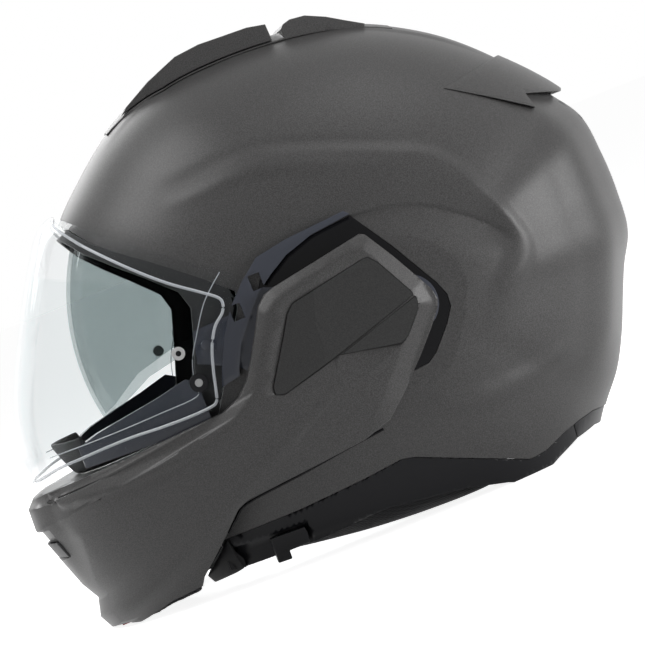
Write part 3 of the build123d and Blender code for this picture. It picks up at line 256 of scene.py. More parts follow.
# Looks: sizes of noise and threads for metre coordinates, depths in metres, and shades as factors
FLAKE_SCALE, FLAKE_DETAIL, FLAKE_SPAN, FLAKE_GAIN = 1900.0, 1.0, (0.35, 0.72), 1.4
GRAIN_SCALE, FOAM_GRAIN_SCALE, GRAIN_DETAIL, GRAIN_DEPTH = 900.0, 350.0, 2.0, 0.0002
CLEAR_ROUGHNESS, CLEAR_GLOSS_SHARE = 0.02, 0.14
RIDGE_ROUGHNESS, RIDGE_COAT = 0.08, 0.5
THREAD_SCALE, THREAD_WAVER, THREAD_BUMP, THREAD_SHADE_AND_HIGHLIGHT = 0.32, 0.6, 0.7, (0.6, 1.25)
CLOTH_ROUGHNESS, CLOTH_SPECULAR, CLOTH_SHEEN, CLOTH_SHEEN_ROUGHNESS = 0.95, 0.2, 0.3, 0.6


def node_tree(name):
    """New material, its nodes and its links."""
    mat = bpy.data.materials.new(name)
    mat.use_nodes = True
    return mat, mat.node_tree.nodes, mat.node_tree.links


def set_inputs(node, **values):
    """Set a node's inputs by their names, with underscores for spaces."""
    for key, value in values.items():
        node.inputs[key.replace("_", " ")].default_value = value


def math_node(n, links, operation, first, second):
    """What a math node makes of two values. The second is another node's output, or a plain number."""
    result = n.new("ShaderNodeMath")
    result.operation = operation
    links.new(first, result.inputs[0])
    if isinstance(second, float):
        result.inputs[1].default_value = second
    else:
        links.new(second, result.inputs[1])
    return result.outputs["Value"]


def speckle(n, links, scale, detail):
    """Noise over the object's surface."""
    coords = n.new("ShaderNodeTexCoord")
    noise = n.new("ShaderNodeTexNoise")
    set_inputs(noise, Scale=scale, Detail=detail)
    links.new(coords.outputs["Object"], noise.inputs["Vector"])
    return noise.outputs["Fac"]


def bumped(n, links, shader, height, strength, depth):
    """Bump on a shader, from a height that varies over the surface."""
    bump = n.new("ShaderNodeBump")
    set_inputs(bump, Strength=strength, Distance=depth)
    links.new(height, bump.inputs["Height"])
    links.new(bump.outputs["Normal"], shader.inputs["Normal"])


def shaded(n, links, shader, colour, value, span, shades):
    """Colour on a shader, from one shade to the other as a value goes through its span."""
    ramp = n.new("ShaderNodeMapRange")
    set_inputs(ramp, From_Min=span[0], From_Max=span[1], To_Min=shades[0], To_Max=shades[1])
    links.new(value, ramp.inputs["Value"])
    scale = n.new("ShaderNodeVectorMath")
    scale.operation = "SCALE"
    scale.inputs[0].default_value = colour
    links.new(ramp.outputs["Result"], scale.inputs["Scale"])
    links.new(scale.outputs["Vector"], shader.inputs["Base Color"])


def mixed(n, links, first, second):
    """Mix of two shaders on the material's surface."""
    mix = n.new("ShaderNodeMixShader")
    links.new(first.outputs["BSDF"], mix.inputs[1])
    links.new(second.outputs["BSDF"], mix.inputs[2])
    links.new(mix.outputs["Shader"], n["Material Output"].inputs["Surface"])
    return mix


def paint(name, colour, roughness, metallic=0.0, flake=0.0, grain=0.0, grain_scale=GRAIN_SCALE, specular=0.5):
    """Opaque surface with an optional sparkle in its colour and a fine grain."""
    mat, n, links = node_tree(name)
    shader = n["Principled BSDF"]
    set_inputs(shader, Base_Color=(*colour, 1), Roughness=roughness, Metallic=metallic,
               Specular_IOR_Level=specular)
    if flake:
        sparkle = speckle(n, links, FLAKE_SCALE, FLAKE_DETAIL)
        shaded(n, links, shader, colour, sparkle, FLAKE_SPAN, (1.0 - flake, 1.0 + FLAKE_GAIN * flake))
    if grain:
        bumped(n, links, shader, speckle(n, links, grain_scale, GRAIN_DETAIL), grain, GRAIN_DEPTH)
    return mat


def glassy(name, tint, blend):
    """Thin clear plastic: mostly transparent, and more reflective at a grazing angle."""
    mat, n, links = node_tree(name)
    n.remove(n["Principled BSDF"])
    clear = n.new("ShaderNodeBsdfTransparent")
    set_inputs(clear, Color=(*tint, 1))
    gloss = n.new("ShaderNodeBsdfGlossy")
    set_inputs(gloss, Color=(1, 1, 1, 1), Roughness=CLEAR_ROUGHNESS)
    facing = n.new("ShaderNodeLayerWeight")
    set_inputs(facing, Blend=blend)
    share = math_node(n, links, "MULTIPLY", facing.outputs["Fresnel"], CLEAR_GLOSS_SHARE)
    links.new(share, mixed(n, links, clear, gloss).inputs["Fac"])
    return mat


def woven(name, colour, pitch, depth):
    """Cloth with crossed threads, whose colour is darker where the threads sink and lighter on their tops:
    painted shade and highlight over the weave. Their pitch and depth are in millimetres.
    """
    mat, n, links = node_tree(name)
    shader = n["Principled BSDF"]
    set_inputs(shader, Base_Color=(*colour, 1), Roughness=CLOTH_ROUGHNESS, Specular_IOR_Level=CLOTH_SPECULAR,
               Sheen_Weight=CLOTH_SHEEN, Sheen_Roughness=CLOTH_SHEEN_ROUGHNESS)
    coords = n.new("ShaderNodeTexCoord")
    threads = []
    for direction in ("X", "Z"):
        wave = n.new("ShaderNodeTexWave")
        wave.bands_direction = direction
        set_inputs(wave, Scale=THREAD_SCALE / (pitch * MM), Distortion=THREAD_WAVER)
        links.new(coords.outputs["Object"], wave.inputs["Vector"])
        threads.append(wave.outputs["Fac"])
    height = math_node(n, links, "MAXIMUM", *threads)
    bumped(n, links, shader, height, THREAD_BUMP, depth * MM)
    # Colour follows the thread height: painted shade between threads and painted highlight on their tops
    shaded(n, links, shader, colour, height, (0.0, 1.0), THREAD_SHADE_AND_HIGHLIGHT)
    return mat


def painted_highlight_ridge(name, colour, cover):
    """Thick edge of clear plastic, partly covered by an opaque whitish grey: a painted highlight for the
    bright glint along the edge.
    """
    mat, n, links = node_tree(name)
    shader = n["Principled BSDF"]
    set_inputs(shader, Base_Color=(*colour, 1), Roughness=RIDGE_ROUGHNESS, Coat_Weight=RIDGE_COAT)
    set_inputs(mixed(n, links, n.new("ShaderNodeBsdfTransparent"), shader), Fac=cover)
    return mat


MATERIALS = {
    "shell_paint": paint("shell_paint", (0.058, 0.057, 0.057), 0.40, metallic=0.12, flake=0.26, grain=0.12,
                         specular=0.2),
    "panel_paint": paint("panel_paint", (0.030, 0.030, 0.030), 0.50, metallic=0.15, flake=0.2, grain=0.12,
                         specular=0.2),
    "vent_black": paint("vent_black", (0.022, 0.022, 0.023), 0.45, grain=0.1, specular=0.2),
    "gloss_black": paint("gloss_black", (0.004, 0.004, 0.005), 0.12, specular=0.12),
    "band_gloss": paint("band_gloss", (0.045, 0.050, 0.066), 0.18, specular=0.25),
    "trim_black": paint("trim_black", (0.010, 0.010, 0.0115), 0.34, grain=0.2, specular=0.12),
    "seal_rubber": paint("seal_rubber", (0.026, 0.027, 0.028), 0.6, grain=0.2, specular=0.2),
    "shield_clear": glassy("shield_clear", (0.965, 0.97, 0.972), 0.10),
    "lens_clear": glassy("lens_clear", (0.98, 0.985, 0.985), 0.05),
    "visor_smoke": glassy("visor_smoke", (0.745, 0.775, 0.775), 0.06),
    "pin_grey": paint("pin_grey", (0.50, 0.50, 0.50), 0.3, grain=0.05),
    "foam_black": paint("foam_black", (0.018, 0.018, 0.018), 0.85, grain=0.6, grain_scale=FOAM_GRAIN_SCALE),
    "lining_fabric": woven("lining_fabric", (0.022, 0.022, 0.024), 0.9, 0.25),
    "hinge_steel": paint("hinge_steel", (0.55, 0.55, 0.56), 0.3, metallic=1.0, grain=0.05),
    "button_red": paint("button_red", (0.42, 0.012, 0.012), 0.4, grain=0.1),
    "strap_webbing": woven("strap_webbing", (0.018, 0.018, 0.019), 1.3, 0.5),
    "buckle_black": paint("buckle_black", (0.018, 0.018, 0.018), 0.4, grain=0.15),
}
# Whitish grey over part of the clear edges: painted highlight
RIDGE_PAINTED_HIGHLIGHT = painted_highlight_ridge("ridge_painted_highlight", (0.62, 0.65, 0.69), 0.55)


def coloured(obj, slot):
    """Give an object the material of a slot."""
    obj.data.materials.clear()
    obj.data.materials.append(MATERIALS[slot])


for row in frame["record"]["subparts"]:
    coloured(nodes[row["node"]], row["material_slot"])


def smooth(obj, angle):
    """Smooth shading, with edges sharper than an angle in degrees kept."""
    obj.data.shade_smooth()
    obj.data.set_sharp_from_angle(angle=math.radians(angle))


def reach_at(outline, turns, straight=False):
    """Reach share at each turn, smooth between an outline's points, or along straight edges."""
    points = sorted(((turn + 360) % 360, share) for turn, share in outline)
    turns_in = np.array([p[0] for p in points])
    shares = np.array([p[1] for p in points])
    wrapped = np.concatenate([turns_in - 360, turns_in, turns_in + 360])
    tripled = np.tile(shares, 3)
    if straight:
        result = []
        for turn in np.mod(turns, 360):
            i = np.searchsorted(wrapped, turn, side="right")
            a, b = math.radians(wrapped[i - 1]), math.radians(wrapped[i])
            ra, rb = tripled[i - 1], tripled[i]
            t = math.radians(turn)
            result.append(ra * rb * math.sin(b - a) / (ra * math.sin(t - a) + rb * math.sin(b - t)))
        return np.array(result)
    slopes = np.gradient(tripled, wrapped)
    i = np.clip(np.searchsorted(wrapped, np.mod(turns, 360), side="right") - 1, 0, len(wrapped) - 2)
    h = wrapped[i + 1] - wrapped[i]
    t = (np.mod(turns, 360) - wrapped[i]) / h
    return ((2 * t ** 3 - 3 * t ** 2 + 1) * tripled[i] + (t ** 3 - 2 * t ** 2 + t) * h * slopes[i]
            + (-2 * t ** 3 + 3 * t ** 2) * tripled[i + 1] + (t ** 3 - t ** 2) * h * slopes[i + 1])


def make_object(name, verts, faces):
    """Mesh object with consistent outward faces."""
    mesh = bpy.data.meshes.new(name)
    mesh.from_pydata([tuple(v) for v in verts], [], faces)
    bm = bmesh.new()
    bm.from_mesh(mesh)
    bmesh.ops.recalc_face_normals(bm, faces=bm.faces)
    bm.to_mesh(mesh)
    bm.free()
    obj = bpy.data.objects.new(name, mesh)
    scene.collection.objects.link(obj)
    return obj


def rounded_body(name, half_width, reach, outline, inset, steps, relief=None, straight=False, cap_rings=1):
    """Closed mesh of one of the main forms, with a relief that gives the surface's rise in millimetres.

    steps are the rings across the helmet and the points around each. Without an outline the rings are round.
    """
    rows, columns = steps
    turns = np.arange(columns) * 360.0 / columns
    if straight:
        turns = np.unique(np.concatenate([turns, [(t + 360) % 360 for t, s in outline]]))
        columns = len(turns)
    shares = reach_at(outline, turns, straight) if outline else np.ones(columns)
    spread = np.linspace(-1.0, 1.0, rows + 1)
    slants = np.radians(CAP_TURN * np.sign(spread) * (1 - (1 - np.abs(spread)) ** ROW_CROWDING))
    inner = np.linspace(CAP_CENTRE_SHARE, 1.0, cap_rings + 1)[:-1]
    narrowing = np.concatenate([inner, np.ones(rows + 1), inner[::-1]])
    slants = np.concatenate([np.full(cap_rings, slants[0]), slants, np.full(cap_rings, slants[-1])])
    rows += 2 * cap_rings
    x = (half_width - inset) * np.sin(slants)[:, None] * np.ones((1, columns))
    shrink = narrowing[:, None] * np.cos(slants)[:, None] ** (2 / FLANK_POWER)
    r = (reach * shares - inset)[None, :] * shrink
    psi = np.radians(turns)[None, :] * np.ones((rows + 1, 1))
    pos = np.stack([x, HINGE_Y + r * np.cos(psi), HINGE_Z + r * np.sin(psi)], axis=-1)
    if relief is not None:
        along_turn = np.roll(pos, -1, 1) - np.roll(pos, 1, 1)
        along_x = np.gradient(pos, axis=0)
        normal = np.cross(along_turn, along_x)
        normal /= np.linalg.norm(normal, axis=-1, keepdims=True) + TINY
        outward = np.sum(normal * (pos - np.array([0, HINGE_Y, HINGE_Z])), axis=-1, keepdims=True)
        normal *= np.sign(outward)
        pos = pos + normal * relief(pos, r, np.degrees(psi))[..., None]
    verts = pos.reshape(-1, 3) * MM
    faces = []
    for i in range(rows):
        for j in range(columns):
            k = (j + 1) % columns
            faces.append((i * columns + j, (i + 1) * columns + j, (i + 1) * columns + k, i * columns + k))
    faces.append(tuple(range(columns)))
    last = rows * columns
    faces.append(tuple(last + j for j in reversed(range(columns))))
    return make_object(name, verts, faces)


def shell_form(name, inset, steps, relief=None, cap_rings=1):
    """The shell's form, drawn in by an inset."""
    return rounded_body(name, SHELL_HALF_WIDTH, SHELL_REACH, SHELL_OUTLINE, inset, steps, relief,
                        cap_rings=cap_rings)


def side_places(shares, reach):
    """Side-view places in millimetres from shares of a reach about the hinge line."""
    return [(HINGE_Y + y * reach, HINGE_Z + z * reach) for y, z in shares]


def prism(name, places, x_low, x_high):
    """Side-view outline extruded across the helmet."""
    count = len(places)
    verts = [(x * MM, y * MM, z * MM) for x in (x_low, x_high) for y, z in places]
    faces = [tuple(range(count)), tuple(reversed(range(count, 2 * count)))]
    faces += [(i, (i + 1) % count, count + (i + 1) % count, count + i) for i in range(count)]
    return make_object(name, verts, faces)


def apply_modifiers(obj):
    """Put what an object's modifiers make into its mesh."""
    depsgraph = bpy.context.evaluated_depsgraph_get()
    mesh = bpy.data.meshes.new_from_object(obj.evaluated_get(depsgraph))
    obj.modifiers.clear()
    obj.data = mesh


def combine(target, other, operation):
    """Boolean of two closed meshes, applied to the first. The second is deleted."""
    modifier = target.modifiers.new("cut", "BOOLEAN")
    modifier.operation = operation
    modifier.solver = "MANIFOLD"
    modifier.object = other
    apply_modifiers(target)
    bpy.data.objects.remove(other)
    return target


def points_of(mesh):
    """Places of a mesh's points, in metres."""
    places = np.empty(len(mesh.vertices) * 3)
    mesh.vertices.foreach_get("co", places)
    return places.reshape(-1, 3)


def move_points(mesh, places):
    """Put a mesh's points at new places, in metres."""
    mesh.vertices.foreach_set("co", places.ravel())
    mesh.update()


def ease(value, low, high):
    """0 below low, 1 above high, smooth between."""
    t = np.clip((value - low) / (high - low), 0, 1)
    return t * t * (3 - 2 * t)


def window(value, rise, fall):
    """0 below the rise and above the fall, 1 between them, smooth in both."""
    return ease(value, *rise) * (1 - ease(value, *fall))


def side_distance(line, pos):
    """Signed distance in the side view from an open line, above zero on its left, and the share along it."""
    y, z = pos[..., 1], pos[..., 2]
    best = np.full(y.shape, np.inf)
    signed = np.zeros(y.shape)
    share = np.zeros(y.shape)
    count = len(line) - 1
    for i in range(count):
        (y0, z0), (y1, z1) = line[i], line[i + 1]
        run = math.hypot(y1 - y0, z1 - z0)
        uy, uz = (y1 - y0) / run, (z1 - z0) / run
        along = np.clip((y - y0) * uy + (z - z0) * uz, 0, run)
        gap = np.hypot(y - y0 - along * uy, z - z0 - along * uz)
        side = np.sign(uy * (z - z0) - uz * (y - y0))
        nearer = gap < best
        best = np.where(nearer, gap, best)
        signed = np.where(nearer, gap * side, signed)
        share = np.where(nearer, (i + along / run) / count, share)
    return signed, share


def soft_ramp(value, rounding):
    """Zero below zero and rising one for one above it, with a rounded start."""
    return 0.5 * (value + np.sqrt(value * value + rounding * rounding)) - 0.5 * rounding


def shell_relief(pos, reach, psi):
    """Rise of the shell's surface at its form lines, in millimetres."""
    x, y = np.abs(pos[..., 0]), pos[..., 1]
    turn = np.where(psi > 180, psi - 360, psi)
    flank = ease(x, *SHELL_FLANK_X)
    # Crest over the arm's pocket, scooped out towards the step down to the recess
    swoosh, share = side_distance(SWOOSH_PATH, pos)
    recess, _ = side_distance(RECESS_PATH, pos)
    crest = CREST_RISE * window(share, CREST_START, CREST_END)
    outside = crest * (1 - ease(swoosh, *CREST_OUTSIDE))
    plain = crest * (1 - ease(-swoosh, *CREST_INSIDE))
    across = np.clip(recess / np.maximum(recess - swoosh, SCOOP_LEAST_WIDTH), 0, 1)
    above = crest - (SCOOP_DEPTH + crest) * (1 - across) ** SCOOP_POWER
    below = -RECESS_DEPTH * (1 - ease(-recess, *RECESS_FADE))
    step = ease(recess, *RECESS_STEP)
    scooped = above * step + below * (1 - step)
    presence = ease(y, *SCOOP_FRONT_Y) * window(turn, SCOOP_REAR_TURN, SCOOP_FRONT_TURN)
    result = flank * np.where(swoosh >= 0, outside, scooped * presence + plain * (1 - presence))
    # Dip along the crest's front end
    dip = window(share, DIP_START, DIP_END) * window(swoosh, DIP_INNER, DIP_OUTER)
    result = result - flank * FRONT_DIP * dip
    # Ridge down the back
    rear = reach - np.interp(turn, *REAR_EDGE_CURVE)
    ridge = window(turn, REAR_LOW_TURN, REAR_HIGH_TURN) * (1 - ease(np.abs(rear), *REAR_WIDTH))
    result = result + flank * REAR_RISE * ridge
    # Crease low on the flank
    low, share = side_distance(SHELL_LOW_CREASE, pos)
    crease = window(share, LOW_START, LOW_END) * (1 - ease(np.abs(low), *LOW_WIDTH))
    result = result + flank * LOW_RISE * crease
    # Raised strip along the crown
    crown = (1 - ease(x, *CROWN_X)) * window(psi, CROWN_REAR_TURN, CROWN_FRONT_TURN)
    return result + CROWN_RISE * crown


def chin_relief(pos, _reach, _psi):
    """Fall of the chin bar's surface at its bevel, creases and groove, as a rise below zero."""
    x, y, z = np.abs(pos[..., 0]), pos[..., 1], pos[..., 2]
    flank = ease(x, *CHIN_FLANK_X)
    arm = ease(y, *ARM_Y)
    beyond, share = side_distance(BEVEL_LINE, pos)
    ends = (1 - ease(share, *BEVEL_END)) * ease(y, *BEVEL_FRONT_Y)
    slope = BEVEL_SLOPE + BEVEL_ARM_SLOPE * arm
    fall = flank * ends * slope * soft_ramp(beyond, BEVEL_ROUNDING)
    plane, share = side_distance(CHIN_PLANE_LINE, pos)
    outward = np.minimum(soft_ramp(plane, PLANE_ROUNDING), PLANE_LIMIT)
    steep = PLANE_SLOPE - PLANE_SLOPE_LOSS * ease(share, *PLANE_TURN)
    inside_bevel = 1 - ease(beyond, *PLANE_BEVEL_EDGE)
    keep = np.where(share > PLANE_UPPER_SHARE, inside_bevel, 1.0) * (1 - ease(share, *PLANE_END))
    fall = fall + flank * keep * steep * outward
    groove, _ = side_distance(BAND_END_LINE, pos)
    near = np.hypot(y - GROOVE_Y, z - GROOVE_Z) < GROOVE_REACH
    fall = fall + flank * GROOVE_DEPTH * (1 - ease(np.abs(groove), *GROOVE_EDGE)) * near
    return -np.minimum(fall, FALL_LIMIT + ARM_FALL_EXTRA * arm) - COVER_GAP


def trim_relief(pos, _reach, _psi):
    """Fall of the lower trim under its rib line, as a rise below zero."""
    above, _ = side_distance(TRIM_RIB_LINE, pos)
    return -TRIM_DEPTH * ease(-above, *TRIM_STEP) - COVER_GAP


def cad_copy(node, name):
    """Closed copy of a CAD node's mesh as a new object."""
    mesh = nodes[node].data.copy()
    bm = bmesh.new()
    bm.from_mesh(mesh)
    bmesh.ops.remove_doubles(bm, verts=bm.verts, dist=WELD_DISTANCE)
    bm.to_mesh(mesh)
    bm.free()
    obj = bpy.data.objects.new(name, mesh)
    scene.collection.objects.link(obj)
    return obj


def fitted(obj, slot_name, body):
    """Give a piece the material of a slot, and the body that it moves with."""
    coloured(obj, slot_name)
    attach(obj, body)


def dressed(obj, node, slot_name, body):
    """Finish a piece that stands for a CAD node."""
    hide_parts(node)
    fitted(obj, slot_name, body)


def outer_shell():
    """Painted shell with its form lines."""
    shell = shell_form("shell_skin", 0.0, SHELL_STEPS, shell_relief, SHELL_CAP_RINGS)
    combine(shell, shell_form("cut", SHELL_WALL, CUT_STEPS), "DIFFERENCE")
    combine(shell, prism("cut", side_places(FRONT_OPENING, SHELL_REACH), -BIG, BIG), "DIFFERENCE")
    rim = side_places(RIM_LINE, SHELL_REACH)
    rim = [(-BIG, rim[0][1])] + rim + [(BIG, rim[-1][1]), (BIG, -BIG), (-BIG, -BIG)]
    combine(shell, prism("cut", rim, -BIG, BIG), "DIFFERENCE")
    for side in SIDE_NAMES:
        pocket = prism("cut", side_places(CHANNEL, ARM_LENGTH), min(0, side * BIG), max(0, side * BIG))
        combine(pocket, shell_form("cut", POCKET_DEPTH, CUT_STEPS), "DIFFERENCE")
        combine(shell, pocket, "DIFFERENCE")
    smooth(shell, SHELL_SHARP)
    dressed(shell, "outer_shell", "shell_paint", "helmet")


def chin_skin():
    """Painted chin bar with its wide bevel, front facets and creases."""
    form = rounded_body("cut", CHIN_HALF_WIDTH, CHIN_REACH, CHIN_OUTLINE, 0.0, CHIN_STEPS, chin_relief,
                        straight=True, cap_rings=CHIN_CAP_RINGS)
    skin = combine(cad_copy("chin_shell", "chin_skin"), form, "INTERSECT")
    smooth(skin, CHIN_SHARP)
    dressed(skin, "chin_shell", "shell_paint", "chin_bar")


def trim_skin(side_name):
    """Side trim with the rib along it."""
    form = shell_form("cut", TRIM_INSET, TRIM_STEPS, trim_relief)
    skin = combine(cad_copy("lower_trim_" + side_name, "trim_skin_" + side_name), form, "INTERSECT")
    smooth(skin, SHELL_SHARP)
    dressed(skin, "lower_trim_" + side_name, "trim_black", "helmet")


def rounded_edges(obj, width):
    """Small rounding on an object's sharp edges, in millimetres."""
    weld = obj.modifiers.new("weld", "WELD")
    weld.merge_threshold = WELD_DISTANCE
    bevel = obj.modifiers.new("round", "BEVEL")
    bevel.limit_method = "ANGLE"
    bevel.angle_limit = math.radians(EDGE_ANGLE)
    bevel.width = width * MM
    bevel.segments = EDGE_SEGMENTS


def rounded_copy(node, name, width, slot_name, body):
    """Copy of a CAD node with rounded edges, which stands for it."""
    piece = cad_copy(node, name)
    rounded_edges(piece, width)
    dressed(piece, node, slot_name, body)


def smooth_path(points, steps):
    """Points of a smooth run through the given ones."""
    points = [Vector(p) for p in points]
    ends = [2 * points[0] - points[1]] + points + [2 * points[-1] - points[-2]]
    path = []
    for i in range(1, len(ends) - 2):
        a, b, c, d = ends[i - 1:i + 3]
        for step in range(steps):
            t = step / steps
            path.append(0.5 * ((2 * b) + (c - a) * t + (2 * a - 5 * b + 4 * c - d) * t ** 2
                               + (3 * b - a - 3 * c + d) * t ** 3))
    return path + [points[-1]]


def ring_faces(rings, sides, closed=False):
    """Faces of a body of rings of points. Its two ends come first, unless it closes on itself."""
    faces = []
    if not closed:
        last = (rings - 1) * sides
        faces = [tuple(range(sides)), tuple(last + k for k in reversed(range(sides)))]
    for i in range(rings if closed else rings - 1):
        a, b = i * sides, (i + 1) % rings * sides
        for k in range(sides):
            nxt = (k + 1) % sides
            faces.append((a + k, a + nxt, b + nxt, b + k))
    return faces


def tube(name, points, radius, closed=False):
    """Round mesh tube along points in millimetres."""
    count = len(points)
    verts = []
    for i, point in enumerate(points):
        before = points[(i - 1) % count if closed else max(i - 1, 0)]
        after = points[(i + 1) % count if closed else min(i + 1, count - 1)]
        along = (after - before).normalized()
        first = along.cross(Vector((0, 0, 1)) if abs(along.z) < UPRIGHT_SHARE else Vector((0, 1, 0)))
        first.normalize()
        second = along.cross(first)
        for k in range(TUBE_SIDES):
            turn = 2 * math.pi * k / TUBE_SIDES
            verts.append((point + radius * (math.cos(turn) * first + math.sin(turn) * second)) * MM)
    obj = make_object(name, verts, ring_faces(count, TUBE_SIDES, closed))
    smooth(obj, TUBE_SHARP)
    return obj


def both_sides(line):
    """Smooth closed run along a line that starts and ends in the middle, and along its mirror image."""
    near = smooth_path(line, SHIELD_LINE_STEPS)
    far = [Vector((-p.x, p.y, p.z)) for p in reversed(near[1:-1])]
    return near + far


def painted_highlight_line(name, points, radius, closed=False):
    """Thick clear edge along points, with a painted highlight, that moves with the shield."""
    obj = tube(name, points, radius, closed)
    obj.data.materials.append(RIDGE_PAINTED_HIGHLIGHT)
    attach(obj, "shield")


def shield_ridges():
    """Thick clear ridge around the shield, and the edges of the lens inside it, as tubes with a painted
    highlight.
    """
    painted_highlight_line("shield_ridge", both_sides(SHIELD_RIDGE_LINE), RIDGE_RADIUS, True)
    for side, side_name in SIDE_NAMES.items():
        edge = smooth_path([(side * LENS_EDGE_SHARE * x, y, z) for x, y, z in LENS_EDGE_LINE],
                           SHIELD_LINE_STEPS)
        painted_highlight_line("lens_edge_" + side_name, edge, LENS_EDGE_RADIUS)


def round_button(name, place, radius, slot_name, centre_slot):
    """Low round button on the inside of the shield, with another slot's material in its centre."""
    centre = Vector(place)
    verts = []
    for share, depth in BUTTON_PROFILE:
        for k in range(BUTTON_SIDES):
            turn = 2 * math.pi * k / BUTTON_SIDES
            offset = Vector((depth, share * radius * math.cos(turn), share * radius * math.sin(turn)))
            verts.append((centre + offset) * MM)
    button = make_object(name, verts, ring_faces(len(BUTTON_PROFILE), BUTTON_SIDES))
    coloured(button, slot_name)
    button.data.materials.append(MATERIALS[centre_slot])
    button.data.polygons[0].material_index = 1
    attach(button, "shield")


def chin_rim():
    """Soft liner that stands on the inside of the chin bar's top edge."""
    rim = rounded_body("chin_rim", SHIELD_HALF_WIDTH, SHIELD_REACH, SHIELD_OUTLINE, RIM_OUTER_INSET,
                       RIM_STEPS)
    inner = rounded_body("cut", SWEEP_HALF_WIDTH, SWEEP_REACH, None, RIM_INNER_INSET, RIM_STEPS)
    combine(rim, inner, "DIFFERENCE")
    combine(rim, prism("cut", CHIN_RIM_PLACES, -SHIELD_HALF_WIDTH, SHIELD_HALF_WIDTH), "INTERSECT")
    rounded_edges(rim, RIM_ROUNDING)
    smooth(rim, LINER_SHARP)
    fitted(rim, "band_gloss", "chin_bar")


def cap_joints():
    """Dark joint behind each front cap and the trim beside it."""
    for side, side_name in SIDE_NAMES.items():
        low, high = sorted(side * x for x in CAP_JOINT_X)
        joint = prism("cap_joint_" + side_name, CAP_JOINT_PLACES, low, high)
        fitted(joint, "trim_black", "helmet")


def arm_gap_shade_strips():
    """Thin black strip on the shell along the lower edge of each arm: painted shade for the gap under the
    arm's edge.
    """
    for side, side_name in SIDE_NAMES.items():
        path = smooth_path([(side * x, y, z) for x, y, z in ARM_GAP_SHADE_LINE], GAP_SHADE_STEPS)
        # Gloss black tube: painted shade in the gap under the arm's edge
        shade_strip = tube("arm_gap_shade_" + side_name, path, ARM_GAP_SHADE_RADIUS)
        fitted(shade_strip, "gloss_black", "helmet")


def remeshed(node, name, voxel):
    """Even mesh of a soft CAD solid, with a voxel size in millimetres."""
    obj = cad_copy(node, name)
    modifier = obj.modifiers.new("remesh", "REMESH")
    modifier.mode = "VOXEL"
    modifier.voxel_size = voxel * MM
    apply_modifiers(obj)
    return obj


def shrink_and_relax(obj, depth, rounds):
    """Move a mesh inwards, in millimetres, and relax its points between their neighbours."""
    bm = bmesh.new()
    bm.from_mesh(obj.data)
    bm.normal_update()
    for vert in bm.verts:
        vert.co -= vert.normal * depth * MM
    for _ in range(rounds):
        bmesh.ops.smooth_vert(bm, verts=bm.verts, factor=RELAX_SHARE, use_axis_x=True, use_axis_y=True,
                              use_axis_z=True)
    bm.to_mesh(obj.data)
    bm.free()


def breath_guard():
    """Low rubber guard in front of the nose."""
    guard = remeshed("breath_guard", "guard_rubber", GUARD_VOXEL)
    places = points_of(guard.data)
    low = places[:, 2].min()
    height = places[:, 2] - low
    places[:, 1] -= GUARD_LEAN * height
    places[:, 2] = low + GUARD_HEIGHT_SHARE * height
    move_points(guard.data, places)
    shrink_and_relax(guard, 0.0, GUARD_RELAX)
    smooth(guard, TUBE_SHARP)
    dressed(guard, "breath_guard", "seal_rubber", "chin_bar")


def swell(obj, cap):
    """Cloth under pressure, with no point moved further than the cap in millimetres."""
    start = points_of(obj.data)
    cloth = obj.modifiers.new("swell", "CLOTH")
    cloth.settings.use_pressure = True
    cloth.settings.uniform_pressure_force = CLOTH_PRESSURE
    cloth.settings.effector_weights.gravity = 0
    cloth.settings.quality = CLOTH_QUALITY
    cloth.point_cache.frame_start = 1
    cloth.point_cache.frame_end = CLOTH_FRAMES
    for frame_number in range(1, CLOTH_FRAMES + 1):
        scene.frame_set(frame_number)
    end = points_of(obj.evaluated_get(bpy.context.evaluated_depsgraph_get()).to_mesh())
    obj.modifiers.remove(cloth)
    moved = end - start
    length = np.linalg.norm(moved, axis=1, keepdims=True)
    moved *= np.minimum(1, cap * MM / np.maximum(length, TINY))
    move_points(obj.data, start + moved)
    scene.frame_set(1)


def sewn(obj, seams):
    """Press a mesh in at its seams. seams gives the depth in millimetres at places in millimetres."""
    mesh = obj.data
    places = points_of(mesh)
    normals = np.empty(len(mesh.vertices) * 3)
    mesh.vertex_normals.foreach_get("vector", normals)
    depth = seams(places / MM)[:, None] * MM
    move_points(mesh, places - normals.reshape(-1, 3) * depth)


def stuffed(node, name, voxel, cap, fill, seams):
    """Padded piece that stands for a soft CAD solid, swollen by cloth pressure, with sewn channels."""
    pad = remeshed(node, name, voxel)
    shrink_and_relax(pad, PAD_SHRINK, PAD_RELAX)
    swell(pad, cap)
    finer = pad.modifiers.new("finer", "SUBSURF")
    finer.levels = finer.render_levels = 1
    apply_modifiers(pad)
    sewn(pad, seams)
    smooth(pad, PAD_SHARP)
    dressed(pad, node, "lining_fabric", "helmet")


def seam(gap, depth, width):
    """Depth of one seam at a distance from it."""
    return depth * np.exp(-(gap / width) ** 2)


def seam_row(value, pitch, depth, width):
    """Depth of seams a pitch apart along a value."""
    return seam(np.abs((value / pitch + 0.5) % 1.0 - 0.5) * pitch, depth, width)


def neck_seams(places):
    """Upright channels around the neck roll."""
    turn = np.arctan2(places[:, 1] - NECK_CENTRE_Y, places[:, 0])
    return seam_row(turn * NECK_ROLL_REACH, *NECK_SEAM)


def cheek_seams(places):
    """Seam around the cheek pad, between its face and its side wall."""
    line = CHEEK_SEAM_X + CHEEK_SEAM_LEAN * (places[:, 1] - CHEEK_SEAM_Y)
    return seam(np.abs(places[:, 0]) - line, *CHEEK_SEAM)


